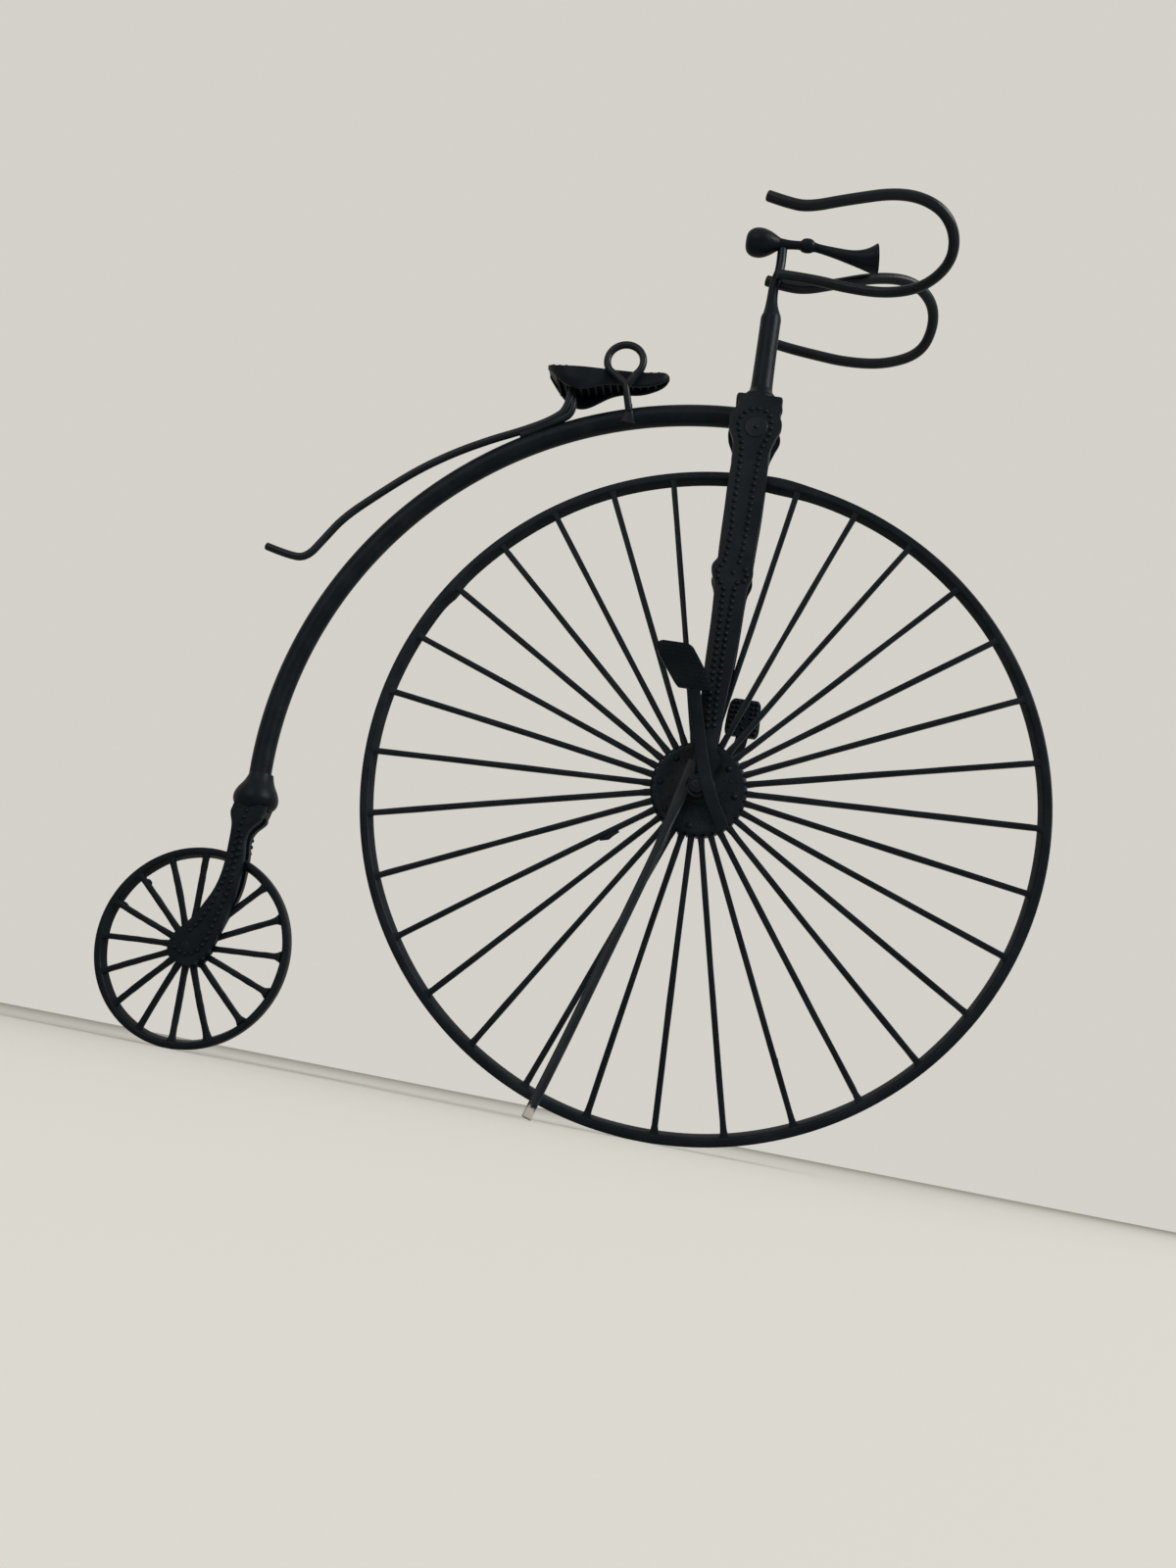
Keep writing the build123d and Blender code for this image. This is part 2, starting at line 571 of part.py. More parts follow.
def hanging_eye():
    """A wire loop closed by two strands that meet in one leg, with a flat foot on the tube's near side."""
    fork = (EYE_X + 0.9, EYE_Z - EYE_FORK_RISE)
    ring_path = CenterArc((0, 0), EYE_RADIUS, -38, 256)
    section = Plane(origin=ring_path @ 0, z_dir=ring_path % 0) * many_sided(EYE_WIRE, WIRE_SIDES)
    loop = Pos(EYE_X, EYE_Y, EYE_Z) * Rot(90, 0, 0) * sweep(section, path=ring_path)
    for side in (-1, 1):
        turn = math.radians(-90 + side * 52)
        start = (EYE_X + EYE_RADIUS * math.cos(turn), EYE_Y, EYE_Z + EYE_RADIUS * math.sin(turn))
        loop += wire([start, (fork[0], EYE_Y, fork[1])], EYE_WIRE)
    low = EYE_FOOT_Z + 1.4
    loop += wire([(fork[0], EYE_Y, fork[1] + 0.5), (fork[0] + 0.9, EYE_Y, (fork[1] + low) / 2),
                  (EYE_FOOT_X, EYE_FOOT_Y - 0.5, low)], EYE_WIRE)
    loop += strip([
        (EYE_FOOT_X, EYE_FOOT_Y - 0.5, low + 1.2, EYE_WIRE, EYE_WIRE),
        (EYE_FOOT_X, EYE_FOOT_Y, low - 2.0, EYE_FOOT_WIDTH, EYE_WIRE + 0.4),
    ])
    return loop - backbone_tube() - saddle()


# Collar dome, rows of (share of its height, share of the way from the tube's diameter to its own)
COLLAR_ROWS = [(0.25, 0.8), (0.29, 1.0), (0.46, 1.0), (0.64, 0.7), (0.86, 0.25), (1.0, 0.12)]


def rear_collar():
    """The domed collar on the backbone's lower end, with a tongue down between the two plates."""
    x = backbone_point(BACKBONE_END_Z)
    rows = [(COLLAR_HEIGHT * h, BACKBONE_DIA + (COLLAR_DIA - BACKBONE_DIA) * share) for h, share in COLLAR_ROWS]
    body = Pos(x, 0, COLLAR_BOTTOM) * Rot(0, 0, 9) * turned_up(rows)
    dome_foot = COLLAR_BOTTOM + rows[0][0]
    body += Pos(x, 0, (COLLAR_BOTTOM + dome_foot) / 2) * Box(
        COLLAR_DIA * 0.75, 2 * REAR_HALF_GAP, dome_foot - COLLAR_BOTTOM)
    return body - backbone_tube()


# Rear plate outline, rows of (share of the way from the pin up to the dome's foot,
# distance ahead of that straight line, bulge), round the pin, up the fore edge and down the rear edge
REAR_ROWS = [
    (0.08, -3.9, 0), (-0.12, 2.2, 3.0), (-0.03, 5.4, 0.4), (0.19, 5.9, 0.2), (0.55, 4.8, 0.3),
    (0.75, 2.5, 0), (0.84, 2.5, 0), (0.91, 3.7, 0), (0.96, 3.6, 0.4), (1.0, 3.4, 0),
    (1.0, -3.3, 0), (0.95, -2.9, 0), (0.84, -1.8, 0.9), (0.74, -0.4, 0), (0.53, 0.6, 0), (0.28, 0.3, 0),
    (0.19, -1.4, 0),
]

# Beaded rows of the rear plate: (share, ahead of the line) at the upper end and at the lower end
REAR_BEADS = [
    ((0.94, -0.9), (0.69, 1.0)),
    ((0.93, 1.4), (0.73, 1.4)),
    ((0.65, 1.3), (0.27, 1.8)),
    ((0.67, 2.8), (0.27, 4.6)),
    ((0.23, 4.7), (0.02, 4.2)),
    ((0.23, 1.1), (0.14, -1.8)),
]


def plate_spot(share, ahead):
    """A spot beside the straight line from the rear pin up to the collar."""
    top_x, top_z = backbone_point(BACKBONE_END_Z), COLLAR_BOTTOM + COLLAR_HEIGHT * COLLAR_ROWS[0][0]
    return (-WHEELBASE + (top_x + WHEELBASE) * share + ahead,
            REAR_RADIUS + (top_z - REAR_RADIUS) * share)


def rear_plate(side):
    """One cast plate of the rear fork, round at its pin and beaded on its outer face."""
    y_in, y_out = side * REAR_HALF_GAP, side * REAR_OUTER
    plate = curved_slab([(*plate_spot(share, ahead), bulge) for share, ahead, bulge in REAR_ROWS], y_in, y_out)
    plate += cylinder_y(-WHEELBASE, REAR_RADIUS, REAR_EYE_RADIUS, y_in, y_out)
    for upper, lower in REAR_BEADS:
        plate += beaded_row(plate_spot(*upper), plate_spot(*lower), y_out, side)
    return plate - cylinder_y(-WHEELBASE, REAR_RADIUS, REAR_AXLE / 2, y_in, y_out + side)


def axle(x, z, diameter, reach, head):
    """A plain pin across the fork, riveted over at both ends."""
    pin = cylinder_y(x, z, diameter / 2, -reach, reach)
    for side in (NEAR, FAR):
        pin += cylinder_y(x, z, head / 2, side * reach, side * (reach + RIVET_HEAD))
    return pin


# Crank strip, rows of (share of the crank's rise, distance beside the line from pin to pedal,
# share of the outward bow), from the tail's end up
CRANK_ROWS = [(-0.4, 5.0, 0.0), (-0.2, 3.2, 0.0), (0.01, 2.1, 0.0), (0.25, 1.4, 0.0), (0.52, 1.0, 0.3),
              (0.77, 0.7, 0.65), (1.0, 0.0, 1.0)]


def crank(side, lean_x, rise):
    """One flat strip past the axle: a curved tail below, the arm above bowed outwards, and an eye at its edge."""
    y, z = side * (CRANK_INNER + STRIP_THICK / 2), FRONT_RADIUS
    away = -math.copysign(1, lean_x)
    arm = strip([(lean_x * share + away * beside, y + side * CRANK_BOW * bow, z + rise * share,
                  STRIP_WIDTH, STRIP_THICK) for share, beside, bow in CRANK_ROWS])
    eye = cylinder_y(0, z, CRANK_EYE_RADIUS, side * CRANK_INNER, side * CRANK_OUTER)
    return arm + eye - cylinder_y(0, z, FRONT_AXLE / 2, side * CRANK_INNER, side * CRANK_OUTER)


def pedal(side, lean_x, rise, tilt_x):
    """A plate on the crank's end, bent outwards, its four corners cut off."""
    y = side * (CRANK_INNER + STRIP_THICK / 2 + CRANK_BOW)
    z = FRONT_RADIUS + rise
    cut = PEDAL_CORNER / PEDAL_LENGTH
    narrow = PEDAL_WIDTH - 2 * PEDAL_CORNER
    rows = [(0, narrow), (cut, PEDAL_WIDTH), (1 - cut, PEDAL_WIDTH), (1, narrow)]
    return strip([(lean_x + tilt_x * t, y + side * PEDAL_OUT * t, z + PEDAL_LENGTH * t, width, PEDAL_THICK)
                  for t, width in rows])


def wheel_lift():
    """How far the leaning machine rises so that the rims' near edges rest on the ground."""
    lean = math.radians(LEAN)
    corner_a = -(RIM_WIDTH / 2 - RIM_EDGE) * math.sin(lean)
    corner_b = RIM_EDGE * math.cos(lean) - RIM_WIDTH / 2 * math.sin(lean)
    return -min(corner_a, corner_b)


def leg_line(z):
    """The leg wire's centre at a height: it slopes back and splays towards the near side."""
    knee_z, knee_y = FRONT_RADIUS - LEG_TAPER_LENGTH, LEG_OUTER + LEG_BOW
    share = (knee_z - z) / knee_z
    return (-math.tan(math.radians(LEG_ANGLE)) * (FRONT_RADIUS - z) - LEG_SET_BACK * (1 - share),
            -knee_y - (LEG_SPLAY - knee_y) * share, z)


def ground():
    """The parked machine's floor, as a thick block in the upright drawing."""
    size = 4 * FRONT_RADIUS
    return Rot(-LEAN, 0, 0) * Pos(0, 0, -wheel_lift() - size / 2) * Box(size, size, size)


def stand_leg():
    """The prop leg: a bent flat strip with an eye on the axle, then wire cut level with the ground."""
    y_mid = -(LEG_INNER + STRIP_THICK / 2)
    knee = leg_line(FRONT_RADIUS - LEG_TAPER_LENGTH)
    plate = strip([
        (*knee, LEG_WIRE, LEG_WIRE),
        (knee[0] + 1.9, y_mid, FRONT_RADIUS - 4, LEG_STRIP_WIDTH, STRIP_THICK),
        (knee[0] + 2.8, y_mid, FRONT_RADIUS, LEG_STRIP_WIDTH, STRIP_THICK),
        (knee[0] + 3.6, y_mid, FRONT_RADIUS + LEG_STRIP_RISE, LEG_STRIP_WIDTH, STRIP_THICK),
    ])
    leg = wire([knee, leg_line(-LEG_WIRE)], LEG_WIRE)
    eye = cylinder_y(0, FRONT_RADIUS, FORK_EYE_RADIUS, -LEG_INNER, -LEG_OUTER)
    bore = cylinder_y(0, FRONT_RADIUS, FRONT_AXLE / 2 + RUNNING_FIT, -LEG_INNER + 1, -LEG_OUTER - 1)
    return plate + eye + leg - bore - ground()


def build():
    """Every piece in the upright drawing, by name."""
    near_lean, far_lean = -3.9, 7.4
    return {
        "front_wheel": front_wheel(),
        "rear_wheel": rear_wheel(),
        "front_axle": axle(0, FRONT_RADIUS, FRONT_AXLE, CRANK_OUTER, 4.4),
        "rear_axle": axle(-WHEELBASE, REAR_RADIUS, REAR_AXLE, REAR_OUTER, 3.2),
        "fork_blade_near": fork_blade(NEAR),
        "fork_blade_far": fork_blade(FAR),
        "crown_block": crown_block(),
        "crown_rivet": crown_rivet(),
        "backbone": backbone_tube(),
        "stem": stem(),
        "horn_riser": horn_riser(),
        "horn_bulb": horn_bulb(),
        "horn_trumpet": horn_trumpet(),
        "handlebar_near": handlebar(NEAR),
        "handlebar_far": handlebar(FAR),
        "saddle": saddle(),
        "saddle_spring": saddle_spring(),
        "hanging_eye": hanging_eye(),
        "rear_collar": rear_collar(),
        "rear_plate_near": rear_plate(NEAR),
        "rear_plate_far": rear_plate(FAR),
        "crank_near": crank(NEAR, near_lean, CRANK_RISE),
        "crank_far": crank(FAR, far_lean, FAR_CRANK_RISE),
        "pedal_near": pedal(NEAR, near_lean, CRANK_RISE, -5.6),
        "pedal_far": pedal(FAR, far_lean, FAR_CRANK_RISE, 0.3),
        "stand_leg": stand_leg(),
    }


def parked(pieces):
    """The placement that leans the machine on its leg, over the middle of its outline."""
    leaning = Pos(0, 0, wheel_lift()) * Rot(LEAN, 0, 0)
    box = Compound(children=[leaning * piece for piece in pieces.values()]).bounding_box()
    return Pos(-(box.min.X + box.max.X) / 2, -(box.min.Y + box.max.Y) / 2, 0) * leaning


PIECES = build()
PARKED = parked(PIECES)

os.makedirs("parts", exist_ok=True)
for name, piece in PIECES.items():
    export_step(PARKED * piece, f"parts/{name}.step")
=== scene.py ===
# %% [markdown]
# This lesson dresses a miniature penny farthing of cast metal and bent wire.
# The frame it loads holds the solid pieces and their joints. Each visible piece here is worked out from a
# few measured rows, in the same upright drawing as the solids: millimetres, X forwards from the front
# hub, Y away from the side with the prop leg, and Z up from the ground below the front wheel.

# %% The frame: its solid pieces and their joints
import json
import math

import bmesh
import bpy
import numpy as np
from mathutils import Matrix, Vector


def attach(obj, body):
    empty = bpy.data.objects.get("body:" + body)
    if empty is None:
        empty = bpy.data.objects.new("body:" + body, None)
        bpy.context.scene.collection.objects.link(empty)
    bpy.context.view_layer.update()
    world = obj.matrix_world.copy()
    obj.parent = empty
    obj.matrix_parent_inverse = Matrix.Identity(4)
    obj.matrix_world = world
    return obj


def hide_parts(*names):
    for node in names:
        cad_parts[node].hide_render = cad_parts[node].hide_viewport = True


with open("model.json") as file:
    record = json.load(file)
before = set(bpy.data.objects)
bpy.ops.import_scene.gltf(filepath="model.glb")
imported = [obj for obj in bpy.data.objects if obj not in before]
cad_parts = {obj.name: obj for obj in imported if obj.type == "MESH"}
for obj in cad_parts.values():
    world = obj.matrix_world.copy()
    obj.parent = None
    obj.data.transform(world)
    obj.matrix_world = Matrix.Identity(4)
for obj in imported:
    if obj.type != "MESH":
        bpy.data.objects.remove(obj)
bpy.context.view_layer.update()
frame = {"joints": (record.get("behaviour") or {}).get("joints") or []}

# %% [markdown]
# The photograph was taken from close by. Its camera was worked out from the ellipses of both rims and the
# directions of the spokes, so the picture's perspective, and not only its direction, is the same here.

# %% The camera
LENS = 28.80
PHOTO_LONG_SIDE = 36.0
CAMERA_PLACE = (0.0376, -0.2579, 0.0030)
# Its directions to the right, upwards and backwards
CAMERA_AXES = ((0.97898, 0.08400, 0.18585), (-0.15712, -0.27036, 0.94985), (0.13004, -0.95909, -0.25148))


def put(name, data):
    """A new object in the scene, made of its data."""
    made = bpy.data.objects.new(name, data)
    bpy.context.scene.collection.objects.link(made)
    return made


def add_camera():
    """A camera from its place and its three axes."""
    data = bpy.data.cameras.new("camera")
    data.lens, data.sensor_width = LENS, PHOTO_LONG_SIDE
    data.clip_start = 0.001
    camera = put("camera", data)
    turn = Matrix(CAMERA_AXES).transposed().to_4x4()
    camera.matrix_world = Matrix.Translation(CAMERA_PLACE) @ turn
    bpy.context.scene.camera = camera


add_camera()
bpy.context.scene.view_settings.view_transform = "Standard"
print("camera at", CAMERA_PLACE, "lens", LENS)

# %% [markdown]
# Black paint shows its form only through what it reflects. One broad lamp ahead and above makes the lit
# fore edges of the castings, a weak one fills the near side, and a pale sky gives the soft sheen.

# %% Floor, sky and lamps
LOOK_AT = (0, 0, 0.1)
FLOOR_HALF = 3.0
FLOOR_COLOUR = (0.55, 0.54, 0.505, 1)
SKY_COLOUR = (0.66, 0.64, 0.59, 1)


def node(tree, kind, place, sockets=None, **settings):
    """Adds a shader node of a kind, with its settings and its input sockets' values."""
    made = tree.nodes.new("ShaderNode" + kind)
    made.location = place
    for name, value in (sockets or {}).items():
        made.inputs[name].default_value = value
    for name, value in settings.items():
        setattr(made, name, value)
    return made


def join(source, out, target, into):
    """Links an output of one node to an input of another, each by its name or number."""
    source.id_data.links.new(source.outputs[out], target.inputs[into])


def add_sky(strength):
    """A sky that lights softly, and that the camera, gloss and glass see as one pale colour."""
    world = bpy.data.worlds.new("studio")
    bpy.context.scene.world = world
    world.use_nodes = True
    tree = world.node_tree
    tree.nodes.clear()
    rays = node(tree, "LightPath", (-600, 200))
    seen = node(tree, "Math", (-400, 200), operation="ADD", use_clamp=True)
    shown = node(tree, "Math", (-200, 200), operation="ADD", use_clamp=True)
    lit = node(tree, "Background", (0, 0), {"Color": SKY_COLOUR, "Strength": strength})
    pale = node(tree, "Background", (0, -150), {"Color": SKY_COLOUR, "Strength": 1.0})
    mix = node(tree, "MixShader", (200, 0))
    out = node(tree, "OutputWorld", (400, 0))
    join(rays, "Is Camera Ray", seen, 0)
    join(rays, "Is Glossy Ray", seen, 1)
    join(seen, 0, shown, 0)
    join(rays, "Is Transmission Ray", shown, 1)
    join(shown, 0, mix, 0)
    join(lit, 0, mix, 1)
    join(pale, 0, mix, 2)
    join(mix, 0, out, "Surface")


def add_floor():
    """A wide level plane under the wheels."""
    mesh = bpy.data.meshes.new("floor")
    r = FLOOR_HALF
    mesh.from_pydata([(-r, -r, 0), (r, -r, 0), (r, r, 0), (-r, r, 0)], [], [(0, 1, 2, 3)])
    floor = put("floor", mesh)
    material = bpy.data.materials.new("pale_floor")
    material.use_nodes = True
    shader = material.node_tree.nodes["Principled BSDF"]
    shader.inputs["Base Color"].default_value = FLOOR_COLOUR
    shader.inputs["Roughness"].default_value = 0.9
    shader.inputs["Specular IOR Level"].default_value = 0.1
    mesh.materials.append(material)


def add_lamp(name, place, size, watts):
    """A square soft lamp that looks at the middle of the ornament."""
    data = bpy.data.lights.new(name, "AREA")
    data.size, data.energy = size, watts
    look = (Vector(LOOK_AT) - Vector(place)).to_track_quat("-Z", "Y")
    put(name, data).matrix_world = Matrix.Translation(place) @ look.to_matrix().to_4x4()


add_sky(strength=0.75)
add_floor()
add_lamp("key", (0.80, -0.35, 0.70), size=0.45, watts=11)
add_lamp("fill", (-0.30, -0.80, 0.50), size=0.6, watts=2.5)

# %% [markdown]
# The whole ornament wears one satin black paint over cast metal and wire. It is not even: brushed paint
# pools and dries in patches, the casting under it is grainy, and it has chipped where the wire was bent.

# %% Paint
SATIN_BLACK = (0.0018, 0.0040, 0.0062, 1)
DUSTY_BLACK = (0.0060, 0.0092, 0.0122, 1)
BARE_METAL = (0.33, 0.30, 0.27, 1)


def ramp(tree, place, low, high):
    """A ramp from 0 to 1 between two values."""
    made = node(tree, "MapRange", place, {"From Min": low, "From Max": high})
    made.clamp = True
    return made


def black_paint(name, roughness, gloss, grain, lumps, chips=()):
    """Satin black: patches change its roughness and shade, fine grain and slow lumps change its surface,
    and the gloss sets how much a face mirrors when it is looked at squarely.
    A chip is a spot and a reach, with an edge broken up by noise, where bare metal shows."""
    material = bpy.data.materials.new(name)
    material.use_nodes = True
    tree = material.node_tree
    shader = tree.nodes["Principled BSDF"]
    shader.inputs["Specular IOR Level"].default_value = gloss
    where = node(tree, "TexCoord", (-1400, 0))
    patches = node(tree, "TexNoise", (-1100, 300), {"Scale": 160.0, "Detail": 3.0})
    fine = node(tree, "TexNoise", (-1100, 0), {"Scale": grain, "Detail": 5.0, "Roughness": 0.6})
    slow = node(tree, "TexNoise", (-1100, -300), {"Scale": grain / 5, "Detail": 2.0})
    for texture in (patches, fine, slow):
        join(where, "Object", texture, "Vector")
    shade = node(tree, "Mix", (-500, 300), data_type="RGBA")
    shade.inputs[6].default_value = SATIN_BLACK
    shade.inputs[7].default_value = DUSTY_BLACK
    dusty = ramp(tree, (-800, 300), 0.45, 0.80)
    join(patches, "Fac", dusty, "Value")
    join(dusty, "Result", shade, 0)
    rough = node(tree, "MapRange", (-500, 100),
                 {"To Min": roughness - 0.07, "To Max": roughness + 0.12})
    join(patches, "Fac", rough, "Value")
    coarse = node(tree, "Bump", (-500, -300), {"Strength": lumps, "Distance": 0.0003})
    bump = node(tree, "Bump", (-250, -200), {"Strength": 0.22, "Distance": 0.00012})
    join(slow, "Fac", coarse, "Height")
    join(fine, "Fac", bump, "Height")
    join(coarse, "Normal", bump, "Normal")
    join(bump, "Normal", shader, "Normal")
    colour, roughened = (shade, 2), (rough, "Result")
    for index, (spot, reach) in enumerate(chips):
        colour, roughened = add_chip(tree, where, fine, colour, roughened, spot, reach, index)
    join(*colour, shader, "Base Color")
    join(*roughened, shader, "Roughness")
    return material


def add_chip(tree, where, fine, colour, roughened, spot, reach, index):
    """Mixes bare metal in where the distance to a spot, plus a little noise, is under a reach."""
    top = 700 + 350 * index
    away = node(tree, "VectorMath", (-1100, top), operation="DISTANCE")
    away.inputs[1].default_value = tuple(spot)
    ragged = node(tree, "Math", (-900, top), operation="MULTIPLY_ADD")
    ragged.inputs[1].default_value = reach
    bare = ramp(tree, (-700, top), reach * 1.55, reach * 1.35)
    tint = node(tree, "Mix", (-500, top), data_type="RGBA")
    tint.inputs[7].default_value = BARE_METAL
    gloss = node(tree, "Mix", (-500, top - 180), data_type="FLOAT")
    gloss.inputs[3].default_value = 0.3
    join(where, "Object", away, 0)
    join(fine, "Fac", ragged, 0)
    join(away, "Value", ragged, 2)
    join(ragged, 0, bare, "Value")
    join(bare, "Result", tint, 0)
    join(*colour, tint, 6)
    join(bare, "Result", gloss, 0)
    join(*roughened, gloss, 2)
    return (tint, 2), (gloss, 0)


WIRE_FINISH = {"roughness": 0.34, "gloss": 0.14, "grain": 1800, "lumps": 0.25}
paints = {
    "cast_paint": black_paint("cast_black", roughness=0.40, gloss=0.08, grain=1500, lumps=0.5),
    "wire_paint": black_paint("wire_black", **WIRE_FINISH),
    "pin_paint": black_paint("pin_black", roughness=0.36, gloss=0.10, grain=1500, lumps=0.35),
}
print("paints", sorted(paints))

# %% [markdown]
# The machine leans a few degrees on its prop leg. Its pieces are drawn upright and then laid over by one
# rule that reads the front wheel's joint: where its pin is, and which way the pin points.

# %% From the upright drawing to the ground
FRONT_RADIUS = 75.0
spin = {joint["name"]: joint for joint in frame["joints"]}["front_wheel_spin"]
HUB = np.array(spin["pos_m"])
ACROSS = np.array(spin["axis"])
FORWARD = np.array([1.0, 0.0, 0.0])
UPRIGHT = np.cross(FORWARD, ACROSS)
NEAR, FAR = -1, 1
# The upright drawing's own directions
AHEAD, ASIDE, ABOVE = (1, 0, 0), (0, 1, 0), (0, 0, 1)


def parked(points):
    """The hub's place, plus x forwards, y along the pin, and the height over the hub square to both."""
    p = np.asarray(points, float) / 1000
    return HUB + p[..., :1] * FORWARD + p[..., 1:2] * ACROSS + (p[..., 2:3] - FRONT_RADIUS / 1000) * UPRIGHT


print("lean", round(math.degrees(math.asin(ACROSS[2])), 2), "degrees")

# %% [markdown]
# All shapes below are grids of points. A part is its points and its faces, and a piece is a few parts in
# one mesh, so that a blade and its beads are painted and moved as one.

# %% Grids, shells and pieces
# Degrees between two faces from which their edge is drawn sharp
SHARP_FROM = 38
# Metres within which points become one, and under which an edge is dropped
MERGE_WITHIN, TOO_SHORT = 2e-6, 1e-6


def xyz(x, y, z):
    """Points from their three coordinates, each spread to the shape of the others."""
    return np.stack(np.broadcast_arrays(x, y, z), axis=-1)


def cells(rows, columns, rows_close=False):
    """Faces of a grid: each joins a point to the next in its row and to the two in the row above."""
    row = np.arange(rows if rows_close else rows - 1)[:, None]
    column = np.arange(columns)[None, :]
    above, beside = (row + 1) % rows, (column + 1) % columns
    here, there = row * columns, above * columns
    corners = (here + column, here + beside, there + beside, there + column)
    return np.stack(np.broadcast_arrays(*corners), axis=-1).reshape(-1, 4)


def shell(grid, ends=True, rows_close=False):
    """A part from a grid of points whose rows run round, with a flat face over each open end."""
    rows, columns = grid.shape[:2]
    faces = cells(rows, columns, rows_close).tolist()
    if ends:
        faces.append(list(range(columns))[::-1])
        faces.append(list(range((rows - 1) * columns, rows * columns)))
    return grid.reshape(-1, 3), faces


def copies(points, faces):
    """One part from many copies of a shape: points by copy, and the faces of one copy."""
    count, size = points.shape[:2]
    numbered = np.arange(count)[:, None, None] * size + np.asarray(faces)[None]
    return points.reshape(-1, 3), numbered.reshape(-1, numbered.shape[-1]).tolist()


def add_piece(name, parts, slot, body, *nodes, paint=None):
    """Joins parts into one mesh, merges poles and seams, turns the faces outwards and puts the piece
    on its body in place of its solid."""
    points = np.concatenate([part[0] for part in parts])
    starts = np.cumsum([0] + [len(part[0]) for part in parts]).tolist()
    faces = [[corner + start for corner in face] for part, start in zip(parts, starts) for face in part[1]]
    mesh = bpy.data.meshes.new(name)
    mesh.from_pydata(parked(points).tolist(), [], faces)
    work = bmesh.new()
    work.from_mesh(mesh)
    bmesh.ops.remove_doubles(work, verts=work.verts, dist=MERGE_WITHIN)
    bmesh.ops.dissolve_degenerate(work, edges=work.edges, dist=TOO_SHORT)
    bmesh.ops.recalc_face_normals(work, faces=work.faces)
    work.to_mesh(mesh)
    work.free()
    mesh.shade_smooth()
    mesh.set_sharp_from_angle(angle=math.radians(SHARP_FROM))
    mesh.materials.append(paint or paints[slot])
    piece = put(name, mesh)
    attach(piece, body)
    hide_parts(*nodes)
    print(name, "has", sum(len(p.vertices) - 2 for p in mesh.polygons), "triangles")


print("edges are sharp from", SHARP_FROM, "degrees, and points within", MERGE_WITHIN, "m become one")

# %% Curves and sections
SQUARE = [(-1, -1), (1, -1), (1, 1), (-1, 1)]


def arc(first, corner, last, t):
    """An arc of second degree from first to last, pulled towards the corner."""
    return (1 - t) ** 2 * first + 2 * t * (1 - t) * corner + t ** 2 * last


def run_along(path):
    """How far along a path each of its points lies."""
    return np.concatenate([[0], np.cumsum(np.linalg.norm(np.diff(path, axis=0), axis=1))])


def columns_at(rows, where):
    """The further columns of rows, read by straight lines at places along their first."""
    return [np.interp(where, rows[:, 0], column) for column in rows.T[1:]]


def even_turns(count):
    """So many turns spaced evenly round a circle."""
    return np.linspace(0, 2 * np.pi, count, endpoint=False)


def circle(count):
    """Points at even turns round a circle of radius 1."""
    return np.stack([np.cos(even_turns(count)), np.sin(even_turns(count))], axis=-1)


def smooth_path(rows, steps=5):
    """Soft corners: at each row an arc of second degree runs from the middle of the run before it to the
    middle of the run after it, and the first and last row are kept."""
    p = np.asarray(rows, float)
    middles = (p[1:-2] + p[2:-1]) / 2
    starts, ends = np.vstack([p[:1], middles]), np.vstack([middles, p[-1:]])
    t = np.linspace(0, 1, steps, endpoint=False)[:, None]
    arcs = arc(starts[:, None], p[1:-1, None], ends[:, None], t)
    return np.vstack([arcs.reshape(-1, p.shape[1]), p[-1:]])


def rounded(corners, radius, steps=3):
    """A closed outline whose corners are cut by short arcs that start a radius before each corner."""
    p = np.asarray(corners, float)
    before, after = np.roll(p, 1, axis=0) - p, np.roll(p, -1, axis=0) - p
    cut = [np.minimum(radius / np.linalg.norm(v, axis=1, keepdims=True), 0.48) * v for v in (before, after)]
    t = np.linspace(0, 1, steps)[None, :, None]
    arcs = arc((p + cut[0])[:, None], p[:, None], (p + cut[1])[:, None], t)
    return arcs.reshape(-1, p.shape[1])


def unit(vectors):
    """Vectors scaled to length one."""
    return vectors / np.linalg.norm(vectors, axis=-1, keepdims=True)


def carried(path, section, facing, grow):
    """A section carried along a path: each ring is the path's point, plus the section's first number along
    the side of the path and its second along the way that the path faces, both times that row's growth."""
    along = unit(np.gradient(path, axis=0))
    side = unit(np.cross(along, facing))
    out = np.cross(side, along)
    first = section[:, :1] * grow[:, None, :1] * side[:, None]
    second = section[:, 1:] * grow[:, None, 1:] * out[:, None]
    return path[:, None] + first + second


def tube(path, radius, facing, around=20, edge=0.25):
    """A round wire with slightly rounded cut ends. Its section is a circle, and three more rings at each
    end step in from the full radius to the end's flat."""
    run = run_along(path)
    inner = path[(run > 1.2 * edge) & (run < run[-1] - 1.2 * edge)]
    first, last = unit(path[1] - path[0]), unit(path[-1] - path[-2])
    steps = np.array([0, 0.1, 0.4, 1.0])[:, None] * edge
    shrink = np.array([edge, 0.62 * edge, 0.2 * edge, 0])
    whole = np.vstack([path[0] + steps * first, inner, path[-1] - steps[::-1] * last])
    sizes = np.concatenate([radius - shrink, np.full(len(inner), radius), radius - shrink[::-1]])
    return shell(carried(whole, circle(around), facing, np.stack([sizes, sizes], axis=-1)))


def turned(rows, origin, axis, across, around=40, wave=None):
    """A lathe shape: each row is a distance along the axis and a radius, carried round the axis by cosine
    and sine. A wave changes the radius by the turn."""
    rows = np.asarray(rows, float)
    axis, across = unit(np.asarray(axis, float)), unit(np.asarray(across, float))
    ring = circle(around) @ [across, np.cross(axis, across)]
    radii = rows[:, 1:2] if wave is None else wave(rows[:, 1:2], even_turns(around))
    radii = np.broadcast_to(radii, (len(rows), around))
    return np.asarray(origin, float) + rows[:, None, :1] * axis + radii[..., None] * ring[None]


